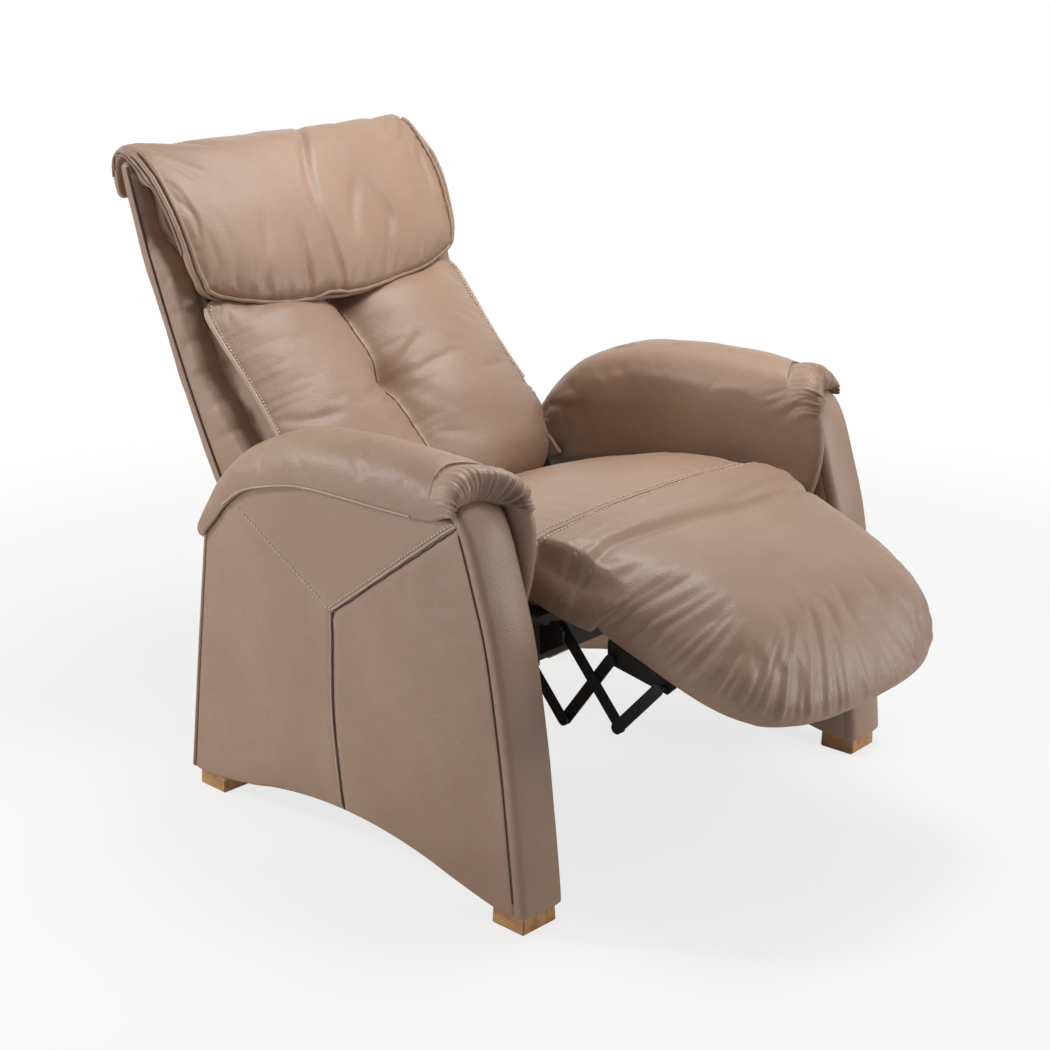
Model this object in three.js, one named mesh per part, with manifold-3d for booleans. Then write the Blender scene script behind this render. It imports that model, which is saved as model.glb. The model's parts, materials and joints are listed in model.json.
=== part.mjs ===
// Recliner armchair: two fixed arms on wooden feet, a seat on a steel mechanism between them,
// a backrest that tilts, a headrest that tilts on the backrest, and a legrest raised by a
// scissor of flat links on each side.
// Millimetres. +Z up, the sitter faces -Y, +X is the sitter's left. Y is written from the line
// through the front feet, and the whole chair is moved at the end so that its middle is at Y 0.
import * as THREE from 'three';
import { mergeVertices } from 'three/addons/utils/BufferGeometryUtils.js';
import Module from 'manifold-3d';

const wasm = await Module();
wasm.setup();

// ---------------------------------------------------------------- driving sizes
const fit = 0.3;                 // between pieces that rest on each other
const swing = 3;                 // between flat links that swing past each other
const openGap = 0.5;             // between a link's end pin and the legrest bracket beside it
const middleY = 291;             // from the front feet to the middle of the chair

// arms and feet
const footX = 364.4;             // centre of a front foot
const wheelbase = 592.6;         // front foot to rear foot
const armToe = THREE.MathUtils.degToRad(1.43);
const foot = { width: 61, topWidth: 57, depth: 55, height: 24 };
const armWidth = 75;
const panelThick = 17;
const facingThick = 12;
const postDepth = 46;
const topBoardThick = 18;
const topBoardDrop = 2;          // under the line that the arm pad follows
const arm = {
  frontFoot: [-32, foot.height], frontBow: [-18, 220], frontTop: [62, 495],
  rearFoot: [wheelbase + 31.4, foot.height], rearTop: [wheelbase - 24.6, 404],
  topBowA: [200, 522], topBowB: [wheelbase - 87.6, 530],
  archFront: 44, archRear: wheelbase - 52.6, archRise: 62,
};
const pad = {
  inner: 62, outer: 42, top: 578, frontY: 68, rearY: arm.rearTop[0] + 20, rearZ: arm.rearTop[1] - 4, round: 8,
};
const flap = { frontY: 50, bottomFront: 436, bottomRear: 398, aboveArm: 24 };

// seat
const seatHalf = 285;
const cushionBottom = 358;
const noseRadius = 75;           // the seat's front roll, about the legrest's axis
const seatRearTop = [490, 434];
const seatRearFoot = 506;
const seatRound = 10;
const deck = { thick: 12, front: 78, rear: 190 };
const rail = { inner: 246, outer: 270, bottom: 290, front: 80, rear: 505 };
const rearRailThick = 22;
const web = { strap: 40, thick: 3, along: 5, alongPitch: 90, across: 4, acrossPitch: 70, acrossFront: 240 };

// steel mechanism, one flat set on each side
const steel = 3;
const plateThick = 4;
const linkWidth = 16;
const pinRadius = 4;
const backPinRadius = 6;
const plateLobe = 14;            // round the front crank's pivot
const plateTail = 20;            // of the side plate, past the rail's rear end
const bracketEye = 36;           // across the back bracket's round end
const bracketReach = 14;         // of the legrest's bracket, past its front eye
const bracketBore = 2.6;
const crossTube = { axis: [300, 312], radius: 12, wall: 2 };

// joint axes, as [y, z]
const legAxis = [66, 388];
const backAxis = [560, 385];
const headAxis = [765, 690];

// scissor pivots at rest, as [y, z]
const rearCrankPivot = [138, 313];
const rearElbow = [53, 217];
const rearLegPivot = [-20, 317];
const frontCrankPivot = [56, 345];
const frontElbow = [-42, 235];
const frontLegPivot = [-105, 304];

// legrest: a rounded tongue seen from above, cut from a block whose side view droops to the tip
const legSlope = THREE.MathUtils.degToRad(18);
const leg = { gap: 4.3, half: 233, straight: 160, tip: 366, boardThick: 12, boardTop: -7, boardTip: 280 };
const legTopLine = [[-17, 443], [-90, 428], [-160, 400], [-228, 362], [-280, 318]];
const legTipLine = [[-295, 288], [-284, 256]];
const legUnderLine = [[-200, 284], [-100, 321], [-11, 354]];

// base beams between the arms, under the seat's side rails
const beam = { thick: 22, deep: 57, front: 185, rear: 470 };

// backrest, measured forward from the curve of its rear face
const backHalf = 282;
const shellThick = 18;
const backPost = { inner: 237, outer: 262, depth: 26, from: 0.2, to: 0.76 };  // shares of the curve
const bottomRailTo = 0.29;
const topRailFrom = 0.67;
const sidePanel = { thick: 7, reach: 38, from: 0.24, to: 0.97 };
const backRear = { foot: [620, 310], bow: [752, 545], top: [827, 752] };
const backCushion = {
  half: 256, front: [512, 440], bow: [600, 578], top: [722, 658], round: 6, from: 0.16, to: 0.74,
};

// headrest
const headRear = { foot: [829, 760], bow: [844, 800], top: [861, 860] };
const pillow = {
  half: 270, round: 4, lip: [[745, 692], [727, 686]],
  face: [[721, 705], [728, 745], [750, 798], [782, 843], [814, 876], [844, 887]],
  crown: [868, 889], overhang: 6, rollDepth: 39, backBow: [785, 800], backFoot: [762, 745],
};
const headBoard = { thick: 12, half: 235, to: 0.9 };
const ratchet = { x: 150, width: 14, at: 0.3 };

// ---------------------------------------------------------------- materials
const leather = new THREE.MeshStandardMaterial({ color: 0xa58c7a, roughness: 0.45, metalness: 0 });
const oak = new THREE.MeshStandardMaterial({ color: 0xb98a4e, roughness: 0.5, metalness: 0 });
const frameWood = new THREE.MeshStandardMaterial({ color: 0xc9a878, roughness: 0.7, metalness: 0 });
const webbing = new THREE.MeshStandardMaterial({ color: 0x2b2a2a, roughness: 0.9, metalness: 0 });
const blackSteel = new THREE.MeshStandardMaterial({ color: 0x1c1c1e, roughness: 0.45, metalness: 0.8 });

// ---------------------------------------------------------------- helpers
const chair = new THREE.Group();
chair.position.y = -middleY;
const sides = [['left', 1], ['right', -1]];
const v2 = ([y, z]) => new THREE.Vector2(y, z);

function add(group, name, geometry, material) {
  const mesh = new THREE.Mesh(geometry, material);
  mesh.name = name;
  group.add(mesh);
  return mesh;
}

// An outline as straight steps, run anticlockwise round holes that run clockwise, without the
// double points where one curve meets the next.
const curveSteps = 8;
const steps = points => points.filter((p, i) => (
  p.distanceTo(points[(i + 1) % points.length]) > 0.05));

function stepped(shape) {
  const { shape: rim, holes } = shape.extractPoints(curveSteps);
  const plain = new THREE.Shape(steps(THREE.ShapeUtils.isClockWise(rim) ? rim.reverse() : rim));
  plain.holes = holes.map(points => new THREE.Path(steps(points)));
  return plain;
}

// A side outline in Y and Z, carried across in X from one face to the other.
function slab(outline, xa, xb, round = 0) {
  const shape = stepped(outline instanceof THREE.Shape ? outline : new THREE.Shape(outline.map(p => (
    p.isVector2 ? p : v2(p)))));
  const low = Math.min(xa, xb);
  const geometry = new THREE.ExtrudeGeometry(shape, {
    depth: Math.abs(xb - xa) - 2 * round, bevelEnabled: round > 0,
    bevelThickness: round, bevelSize: round, bevelOffset: -round, bevelSegments: 3,
  });
  geometry.translate(0, 0, low + round);
  geometry.applyMatrix4(new THREE.Matrix4().makeBasis(
    new THREE.Vector3(0, 1, 0), new THREE.Vector3(0, 0, 1), new THREE.Vector3(1, 0, 0)));
  return geometry;
}

function box(x0, x1, y0, y1, z0, z1) {
  const geometry = new THREE.BoxGeometry(Math.abs(x1 - x0), y1 - y0, z1 - z0);
  return geometry.translate((x0 + x1) / 2, (y0 + y1) / 2, (z0 + z1) / 2);
}

function pin([y, z], xa, xb, radius = pinRadius) {
  const geometry = new THREE.CylinderGeometry(radius, radius, Math.abs(xb - xa), 16);
  return geometry.rotateZ(Math.PI / 2).translate((xa + xb) / 2, y, z);
}

function solid(geometry) {
  const plain = geometry.clone();
  plain.deleteAttribute('normal');
  plain.deleteAttribute('uv');
  const merged = mergeVertices(plain, 1e-4);
  return new wasm.Manifold(new wasm.Mesh({
    numProp: 3, vertProperties: new Float32Array(merged.attributes.position.array),
    triVerts: new Uint32Array(merged.index.array),
  }));
}

function geometryOf(manifold) {
  const { vertProperties, triVerts } = manifold.getMesh();
  const geometry = new THREE.BufferGeometry();
  geometry.setAttribute('position', new THREE.BufferAttribute(vertProperties, 3));
  geometry.setIndex(new THREE.BufferAttribute(triVerts, 1));
  geometry.computeVertexNormals();
  return geometry;
}

const join = (...parts) => geometryOf(parts.map(solid).reduce((a, b) => a.add(b)));
const cut = (part, ...tools) => geometryOf(tools.map(solid).reduce((a, b) => a.subtract(b), solid(part)));

const bow = (a, b, c) => new THREE.QuadraticBezierCurve(v2(a), v2(b), v2(c));

// Points beside a curve: positive distances lie to the left of the way it runs.
function beside(curve, distance, from = 0, to = 1, steps = 10) {
  const points = [];
  for (let i = 0; i <= steps; i += 1) {
    const t = from + ((to - from) * i) / steps;
    const along = curve.getTangent(t);
    points.push(curve.getPoint(t).add(new THREE.Vector2(-along.y, along.x).multiplyScalar(distance)));
  }
  return points;
}

const band = (curve, near, far, from, to, steps) => [
  ...beside(curve, near, from, to, steps), ...beside(curve, far, from, to, steps).reverse()];

// ---------------------------------------------------------------- arms
const armHalf = armWidth / 2;
const armBottom = foot.height + fit;
const coreHalf = armHalf - panelThick - fit;
const armFront = bow(arm.frontFoot, arm.frontBow, arm.frontTop);
const armTop = new THREE.CubicBezierCurve(
  v2(arm.frontTop), v2(arm.topBowA), v2(arm.topBowB), v2(arm.rearTop));
const shift = (points, dy, dz = 0) => points.map(p => new THREE.Vector2(p.x + dy, p.y + dz));
const aboveFoot = points => points.map(p => new THREE.Vector2(p.x, Math.max(p.y, armBottom)));
const rearEdgeY = z => arm.rearFoot[0] + ((arm.rearTop[0] - arm.rearFoot[0]) * (z - arm.rearFoot[1]))
  / (arm.rearTop[1] - arm.rearFoot[1]);

// Side panel: behind the front facing, under the arm pad, arched between the feet.
function armPanel() {
  const front = aboveFoot(shift(armFront.getPoints(8), facingThick + fit, -fit));
  const top = shift(armTop.getPoints(12), 0, -fit).filter(p => p.x > arm.frontTop[0] + facingThick + 4);
  const arch = bow([arm.archRear, armBottom], [(arm.archFront + arm.archRear) / 2, armBottom + arm.archRise],
    [arm.archFront, armBottom]).getPoints(8);
  return [...front, ...top, v2([arm.rearFoot[0], armBottom]), ...arch];
}

function addArm(side, sign) {
  const group = new THREE.Group();
  group.position.x = sign * footX;
  group.rotation.z = sign * armToe;
  chair.add(group);
  const put = (name, geometry, material) => add(group, `${name}_${side}`, geometry, material);
  const across = (outline, a, b, round) => slab(outline, sign * a, sign * b, round);

  put('arm_outer_panel', across(armPanel(), armHalf - panelThick, armHalf), leather);
  put('arm_inner_panel', across(armPanel(), -armHalf, panelThick - armHalf), leather);

  const face = aboveFoot(shift(armFront.getPoints(8), 0, -fit));
  const faceBack = aboveFoot(shift(armFront.getPoints(8), facingThick, -fit));
  put('arm_front_facing', across([...face, ...faceBack.reverse()], -armHalf, armHalf), leather);

  const postTop = arm.frontTop[1] - topBoardThick - 4;
  const postFront = aboveFoot(shift(armFront.getPoints(8), facingThick + fit))
    .filter(p => p.y < postTop);
  put('arm_front_post', across([...postFront, ...shift(postFront, postDepth).reverse()],
    -coreHalf, coreHalf), frameWood);
  const rearPostTop = arm.rearTop[1] - topBoardThick - 6;
  put('arm_rear_post', across([
    [rearEdgeY(armBottom) - postDepth, armBottom], [rearEdgeY(armBottom), armBottom],
    [rearEdgeY(rearPostTop), rearPostTop], [rearEdgeY(rearPostTop) - postDepth, rearPostTop],
  ], -coreHalf, coreHalf), frameWood);
  put('arm_top_board', across(band(armTop, -topBoardDrop, -topBoardDrop - topBoardThick, 0.06, 0.94, 12),
    -coreHalf, coreHalf), frameWood);

  // The pad lies on the top curve, rounds over both ends and hangs down the inner side as a flap.
  const under = shift(armTop.getPoints(12), 0, fit).filter(p => p.x > pad.frontY + 6);
  const padOutline = new THREE.Shape([
    v2([pad.frontY, arm.frontTop[1] + 8]), v2([pad.frontY + 4, pad.top - 18])]);
  padOutline.lineTo(pad.frontY + 32, pad.top);
  padOutline.bezierCurveTo(340, pad.top, pad.rearY - 16, 535, pad.rearY, pad.rearZ);
  under.reverse().forEach(p => padOutline.lineTo(p.x, p.y));
  const topLine = armTop.getPoints(12).filter(p => p.x > flap.frontY + 20 && p.x < arm.rearTop[0] - 10);
  const flapOutline = [
    [flap.frontY, flap.bottomFront], [flap.frontY + 6, arm.frontTop[1] + 20],
    ...shift(topLine, 0, flap.aboveArm), [arm.rearTop[0] - 4, flap.bottomRear]];
  put('arm_pad', join(
    across(padOutline, -pad.inner, pad.outer, pad.round),
    across(flapOutline, -pad.inner, -armHalf - fit)), leather);

  const footSide = [
    [-foot.width / 2, 0], [foot.width / 2, 0],
    [foot.topWidth / 2, foot.height], [-foot.topWidth / 2, foot.height]];
  for (const [place, y] of [['front', 0], ['rear', wheelbase]]) {
    const block = new THREE.ExtrudeGeometry(new THREE.Shape(footSide.map(v2)),
      { depth: foot.depth, bevelEnabled: false });
    block.rotateX(Math.PI / 2).translate(0, y + foot.depth / 2, 0);
    add(group, `foot_${place}_${side}`, block, oak);
  }
}
sides.forEach(([side, sign]) => addArm(side, sign));

// ---------------------------------------------------------------- base beams and seat frame
const armInnerAt = y => footX - (armHalf + fit) / Math.cos(armToe) - y * Math.tan(armToe);
for (const [name, y] of [['front', beam.front], ['rear', beam.rear]]) {
  const half = armInnerAt(y + beam.thick);
  add(chair, `base_beam_${name}`, box(-half, half, y, y + beam.thick,
    rail.bottom - fit - beam.deep, rail.bottom - fit), frameWood);
}

const railTop = cushionBottom - deck.thick - 2 * fit;
const plateOuter = rail.inner - fit;
const plateInner = plateOuter - plateThick;
const shortOuter = plateInner - swing;
const shortInner = shortOuter - steel;
const crankOuter = shortInner - swing;
const crankInner = crankOuter - steel;
const longOuter = crankInner - swing;
const longInner = longOuter - steel;
const legBracketOuter = longInner - swing;
const legBracketInner = legBracketOuter - steel;
const rearRailFront = rail.rear - rearRailThick;

add(chair, 'seat_front_deck', box(-rail.outer, rail.outer, deck.front, deck.rear,
  railTop + fit, cushionBottom - fit), frameWood);
add(chair, 'seat_rear_rail', box(-plateInner + fit, plateInner - fit, rearRailFront, rail.rear,
  rail.bottom, railTop), frameWood);
for (const [side, sign] of sides) {
  add(chair, `seat_side_rail_${side}`, box(sign * rail.inner, sign * rail.outer, rail.front, rail.rear,
    rail.bottom, railTop), frameWood);
}

// Elastic webbing: straps front to back and across, woven into one net between deck and rear rail.
const webZ = railTop + fit;
const strapBoxes = [];
for (let i = 0; i < web.along; i += 1) {
  const x = (i - (web.along - 1) / 2) * web.alongPitch - web.strap / 2;
  strapBoxes.push(box(x, x + web.strap, deck.rear + fit, rail.rear, webZ, webZ + web.thick));
}
for (let i = 0; i < web.across; i += 1) {
  const y = web.acrossFront + i * web.acrossPitch;
  strapBoxes.push(box(-rail.outer, rail.outer, y, y + web.strap, webZ, webZ + web.thick));
}
add(chair, 'seat_webbing', join(...strapBoxes), webbing);

// Seat cushion: its front roll is an arc about the legrest's axis.
const noseLow = Math.asin((legAxis[1] - cushionBottom) / noseRadius);
const seatOutline = new THREE.Shape();
seatOutline.moveTo(seatRearFoot, cushionBottom);
seatOutline.lineTo(...seatRearTop);
seatOutline.bezierCurveTo(360, 452, 200, 466, legAxis[0], legAxis[1] + noseRadius);
seatOutline.absarc(...legAxis, noseRadius, Math.PI / 2, Math.PI + noseLow, false);
seatOutline.closePath();
add(chair, 'seat_cushion', slab(seatOutline, -seatHalf, seatHalf, seatRound), leather);

// ---------------------------------------------------------------- mechanism
// A hole or a flat bar with round ends between two pivots, in the Y-Z plane.
const hole = ([y, z], radius = pinRadius + fit) => (
  new THREE.Path().absarc(y, z, radius, 0, 2 * Math.PI, true));

function barOutline(a, b, width = linkWidth) {
  const angle = Math.atan2(b[1] - a[1], b[0] - a[0]);
  const shape = new THREE.Shape();
  shape.absarc(...a, width / 2, angle + Math.PI / 2, angle + (3 * Math.PI) / 2, false);
  shape.absarc(...b, width / 2, angle - Math.PI / 2, angle + Math.PI / 2, false);
  shape.closePath();
  return shape;
}

function addMechanism(side, sign) {
  const put = (name, geometry) => add(chair, `${name}_${side}`, geometry, blackSteel);
  const across = (outline, a, b) => slab(outline, sign * a, sign * b);

  // Side plate on the side rail's inner face, with a front lobe for the front crank.
  const lobeFront = frontCrankPivot[0] - plateLobe;
  const plate = new THREE.Shape([
    [rail.rear + plateTail, railTop], [lobeFront, railTop],
    [lobeFront, frontCrankPivot[1] - plateLobe - 4], [rail.front + 20, rail.bottom + 2],
    [rail.rear + plateTail, rail.bottom + 2],
  ].map(v2));
  plate.holes.push(hole(rearCrankPivot));
  const frontEye = barOutline(frontCrankPivot, frontCrankPivot, 2 * plateLobe - 6);
  put('mech_side_plate', cut(
    join(across(plate, plateInner, plateOuter), across(frontEye, plateInner, plateOuter)),
    pin(frontCrankPivot, sign * (plateInner - 1), sign * (plateOuter + 1), pinRadius + fit)));

  // Cranks turn on the side plate. The rear one carries the long link on its inner side and the
  // front one the short link on its outer side, and both links reach the legrest's bracket.
  const crank = (pivot, elbow) => {
    const shape = barOutline(pivot, elbow);
    shape.holes.push(hole(elbow));
    return join(
      across(shape, crankInner, crankOuter), pin(pivot, sign * (crankOuter - 1), sign * plateOuter));
  };
  const link = (elbow, end, inner) => join(
    across(barOutline(elbow, end), inner, inner + steel),
    pin(elbow, sign * crankInner, sign * crankOuter),
    pin(elbow, sign * (inner + steel / 2), sign * (crankInner + steel / 2)),
    pin(end, sign * (legBracketOuter + openGap), sign * (inner + 1)));
  put('mech_rear_crank', crank(rearCrankPivot, rearElbow));
  put('mech_long_link', link(rearElbow, rearLegPivot, longInner));
  put('mech_front_crank', crank(frontCrankPivot, frontElbow));
  put('mech_short_link', link(frontElbow, frontLegPivot, shortInner));

  // Back bracket on the side rail's outer face; its pin points inward, through the hinge arm.
  const bracketInner = rail.outer + fit;
  const bracketOuter = bracketInner + plateThick;
  const eye = barOutline(backAxis, backAxis, bracketEye);
  const bracket = [
    [rail.rear - 90, rail.bottom + 6], [rail.rear - 90, railTop - 4], [seatRearFoot + 4, railTop - 4],
    [backAxis[0] - 14, backAxis[1] + 10], [backAxis[0] + 14, backAxis[1] - 10],
    [rail.rear, rail.bottom + 6]];
  put('back_bracket', join(
    across(bracket, bracketInner, bracketOuter), across(eye, bracketInner, bracketOuter),
    pin(backAxis, sign * (backPost.outer + fit), sign * (bracketInner + 1), backPinRadius)));
}
sides.forEach(([side, sign]) => addMechanism(side, sign));

const tubeShape = new THREE.Shape().absarc(...crossTube.axis, crossTube.radius, 0, 2 * Math.PI, false);
tubeShape.holes.push(hole(crossTube.axis, crossTube.radius - crossTube.wall));
add(chair, 'mech_cross_tube', slab(tubeShape, -plateInner + fit, plateInner - fit), blackSteel);

// ---------------------------------------------------------------- legrest
const legrest = new THREE.Group();
legrest.position.set(0, ...legAxis);
legrest.rotation.x = legSlope;
chair.add(legrest);
const legRoot = -(noseRadius + leg.gap);

// Seen from above: straight sides, then a half ellipse round the tip.
function tongue(half, root, straight, tip) {
  const shape = new THREE.Shape();
  shape.moveTo(half, -root);
  shape.lineTo(-half, -root);
  shape.lineTo(-half, -straight);
  shape.absellipse(0, -straight, half, tip - straight, Math.PI, 2 * Math.PI, false, 0);
  shape.closePath();
  return stepped(shape);
}

const legFrame = new THREE.Matrix4().makeRotationX(-legSlope)
  .multiply(new THREE.Matrix4().makeTranslation(0, -legAxis[0], -legAxis[1]));
const legSide = new THREE.Shape([v2(legTopLine[0])]);
legSide.splineThru(legTopLine.slice(1).map(v2));
legSide.splineThru(legTipLine.map(v2));
legSide.splineThru(legUnderLine.map(v2));
const legBlock = slab(legSide, -leg.half - 1, leg.half + 1).applyMatrix4(legFrame);
const legPlan = new THREE.ExtrudeGeometry(tongue(leg.half, -legRoot, leg.straight, leg.tip),
  { depth: 240, bevelEnabled: false }).translate(0, 0, -120);

// The board lies in a pocket under the pad, between the brackets.
const pocketDepth = 100;
const legPocket = new THREE.ExtrudeGeometry(
  tongue(legBracketOuter + fit, -legRoot - 1, leg.straight, leg.boardTip + fit),
  { depth: pocketDepth, bevelEnabled: false }).translate(0, 0, leg.boardTop - pocketDepth);
const board = new THREE.ExtrudeGeometry(
  tongue(legBracketInner - fit, -legRoot + 6, leg.straight, leg.boardTip),
  { depth: leg.boardThick, bevelEnabled: false });
board.translate(0, 0, leg.boardTop - fit - leg.boardThick);
add(legrest, 'legrest_board', board, frameWood);

// The legrest's brackets stand on edge against the board, with an eye at each scissor pivot.
const toLegrest = ([y, z]) => {
  const p = new THREE.Vector2(y - legAxis[0], z - legAxis[1]).rotateAround(new THREE.Vector2(), -legSlope);
  return [p.x, p.y];
};
const legEyes = [toLegrest(rearLegPivot), toLegrest(frontLegPivot)];
const bracketTip = legEyes[1][0] - bracketReach;
const bracketSlots = sides.map(([, sign]) => box(
  sign * (legBracketInner - fit), sign * (legBracketOuter + fit),
  bracketTip - fit, legRoot, leg.boardTop - pocketDepth, leg.boardTop));
add(legrest, 'legrest_pad', cut(
  geometryOf(solid(legBlock).intersect(solid(legPlan))), legPocket, ...bracketSlots), leather);
for (const [side, sign] of sides) {
  const [rearEye, frontEye] = legEyes;
  const under = leg.boardTop - fit;
  const outline = new THREE.Shape([
    [legRoot - 10, under], [legRoot - 10, under - 16], [rearEye[0] + 6, rearEye[1] - 9],
    [frontEye[0] - 6, frontEye[1] - 9], [bracketTip, under - 14], [bracketTip, under]].map(v2));
  outline.holes.push(...legEyes.map(eye => hole(eye, bracketBore)));
  add(legrest, `legrest_bracket_${side}`,
    slab(outline, sign * legBracketInner, sign * legBracketOuter), blackSteel);
}

// ---------------------------------------------------------------- backrest
const rear = bow(backRear.foot, backRear.bow, backRear.top);
const hardBack = shellThick + fit;
const postFront = hardBack + backPost.depth;
add(chair, 'back_shell', slab(band(rear, 0, shellThick, 0, 1, 12), -backHalf, backHalf), leather);

// The top rail has a mortise for the lower arm of each headrest hinge.
const railAt = (topRailFrom + backPost.to) / 2;
const railMiddle = beside(rear, hardBack + backPost.depth / 2, railAt, railAt, 1)[0];
const lowerArm = width => barOutline([railMiddle.x, railMiddle.y], headAxis, width);
const ratchetSplit = ratchet.x + steel;
const mortises = sides.map(([, sign]) => slab(
  lowerArm(ratchet.width + 2 * fit), sign * (ratchet.x - fit), sign * (ratchetSplit + fit)));
add(chair, 'back_top_rail', cut(
  slab(band(rear, hardBack, postFront, topRailFrom, backPost.to, 2),
    -backPost.inner + fit, backPost.inner - fit), ...mortises), frameWood);
add(chair, 'back_bottom_rail', slab(band(rear, hardBack, postFront, backPost.from, bottomRailTo, 2),
  -backPost.inner + fit, backPost.inner - fit), frameWood);

const cushionFace = bow(backCushion.front, backCushion.bow, backCushion.top);
const cushionBack = beside(rear, postFront + fit, backCushion.from, backCushion.to, 8).reverse();
add(chair, 'back_cushion', slab([...cushionFace.getPoints(10), ...cushionBack],
  -backCushion.half, backCushion.half, backCushion.round), leather);

for (const [side, sign] of sides) {
  const across = (outline, a, b) => slab(outline, sign * a, sign * b);
  add(chair, `back_post_${side}`, across(band(rear, hardBack, postFront, backPost.from, backPost.to, 8),
    backPost.inner, backPost.outer), frameWood);
  add(chair, `back_side_panel_${side}`, across(
    band(rear, hardBack, hardBack + sidePanel.reach, sidePanel.from, sidePanel.to, 10),
    backHalf - sidePanel.thick, backHalf), leather);
  // Hinge arm: bolted to the post's outer face, with an eye on the bracket's pin.
  const armInner = backPost.outer + fit;
  const upper = beside(rear, hardBack + backPost.depth / 2, 0.5, 0.5, 1)[0];
  const eye = barOutline(backAxis, [upper.x, upper.y], backPost.depth - 2);
  eye.holes.push(hole(backAxis, backPinRadius + fit));
  add(chair, `back_hinge_arm_${side}`, across(eye, armInner, armInner + plateThick), blackSteel);
}

// ---------------------------------------------------------------- headrest
const headCurve = bow(headRear.foot, headRear.bow, headRear.top);
add(chair, 'head_shell', slab(band(headCurve, 0, shellThick, 0, 1, 6), -backHalf, backHalf), leather);
const boardFront = hardBack + headBoard.thick;
add(chair, 'head_board', slab(band(headCurve, hardBack, boardFront, 0, headBoard.to, 4),
  -headBoard.half, headBoard.half), frameWood);

const pillowSeat = beside(headCurve, shellThick, 1, 1, 1)[0].y + fit;
const pillowShape = new THREE.Shape(pillow.lip.map(v2));
pillowShape.splineThru(pillow.face.map(v2));
pillowShape.quadraticCurveTo(...pillow.crown, headRear.top[0] + pillow.overhang, pillowSeat);
pillowShape.lineTo(headRear.top[0] - pillow.rollDepth, pillowSeat);
pillowShape.quadraticCurveTo(...pillow.backBow, ...pillow.backFoot);
pillowShape.closePath();
add(chair, 'head_pillow', slab(pillowShape, -pillow.half, pillow.half, pillow.round), leather);

// Ratchet hinges: a lower arm in the backrest's top rail and an upper arm on the head board,
// side by side on one pin.
const boardMiddle = beside(headCurve, boardFront + ratchet.width / 2 + fit, ratchet.at, ratchet.at, 1)[0];
for (const [side, sign] of sides) {
  const across = (outline, a, b) => slab(outline, sign * a, sign * b);
  const upperArm = barOutline(headAxis, [boardMiddle.x, boardMiddle.y], ratchet.width);
  upperArm.holes.push(hole(headAxis));
  const upperInner = ratchetSplit + fit;
  add(chair, `head_ratchet_lower_${side}`, join(across(lowerArm(ratchet.width), ratchet.x, ratchetSplit),
    pin(headAxis, sign * (ratchetSplit - 1), sign * (upperInner + steel))), blackSteel);
  add(chair, `head_ratchet_upper_${side}`, across(upperArm, upperInner, upperInner + steel), blackSteel);
}

export default chair;
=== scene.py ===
# %% [markdown]
# # A leather recliner armchair
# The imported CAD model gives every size, place and joint. This file gives the chair its looks:
# leather covers with seams, folds and stitches, oiled oak feet and powder-coated steel links.
# Lengths in the helpers are millimetres, and Y is written from the line through the front feet,
# because an upholsterer measures a chair from its feet. `metres` turns them into the frame.

import json
import math

import bmesh
import bpy
import numpy as np
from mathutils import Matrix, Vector
from mathutils.bvhtree import BVHTree


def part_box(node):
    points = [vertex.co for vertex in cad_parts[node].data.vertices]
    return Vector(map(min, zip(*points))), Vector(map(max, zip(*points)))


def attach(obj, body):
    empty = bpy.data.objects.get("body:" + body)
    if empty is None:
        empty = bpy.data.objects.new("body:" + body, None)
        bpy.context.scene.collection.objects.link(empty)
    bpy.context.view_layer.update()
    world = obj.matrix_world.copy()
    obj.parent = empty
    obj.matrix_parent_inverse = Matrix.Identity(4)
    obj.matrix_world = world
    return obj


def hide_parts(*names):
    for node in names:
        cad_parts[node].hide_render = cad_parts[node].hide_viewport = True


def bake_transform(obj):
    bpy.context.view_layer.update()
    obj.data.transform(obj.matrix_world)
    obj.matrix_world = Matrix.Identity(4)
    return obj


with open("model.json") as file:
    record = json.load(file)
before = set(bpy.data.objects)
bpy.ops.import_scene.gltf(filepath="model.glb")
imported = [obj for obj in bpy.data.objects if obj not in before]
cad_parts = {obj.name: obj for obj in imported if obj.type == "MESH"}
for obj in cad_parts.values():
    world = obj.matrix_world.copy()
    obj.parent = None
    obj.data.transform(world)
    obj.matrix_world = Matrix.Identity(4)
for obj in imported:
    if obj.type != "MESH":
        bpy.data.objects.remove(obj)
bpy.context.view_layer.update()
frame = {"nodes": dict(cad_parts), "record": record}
foot_low, foot_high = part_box("foot_front_left")
feet_y = (foot_low[1] + foot_high[1]) / 2
foot_x = 364.4
toe = math.radians(1.43)
sides = (("left", 1), ("right", -1))


def metres(points):
    """Millimetres with Y from the front feet, as metres in the frame."""
    out = np.asarray(points, float) / 1000
    out[..., 1] += feet_y
    return out


# %% [markdown]
# ## Curves and rounded blocks
# Padded leather is a closed form with soft edges. Each piece starts as the skin of a rounded
# block, a grid of quads with no poles, and is then bent along the curves of the real piece.
# A subdivided cube would pinch at its corners, and a voxel remesh would lose the clean rows of
# quads that seams and folds need.

# %% Curves and rounded blocks
def blend_four(a, b, c, d, t):
    """The Catmull-Rom curve from b to c, with a and d as their neighbours."""
    return b + (c - a) * t / 2 + (2 * a - 5 * b + 4 * c - d) * t**2 / 2 + (3 * b - a - 3 * c + d) * t**3 / 2


def with_ends(p):
    """The points with one more beyond each end, so that a curve can start and stop on them."""
    return np.vstack([2 * p[0] - p[1], p, 2 * p[-1] - p[-2]])


def lengths_along(p):
    return np.concatenate([[0], np.cumsum(np.linalg.norm(np.diff(p, axis=0), axis=1))])


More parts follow.
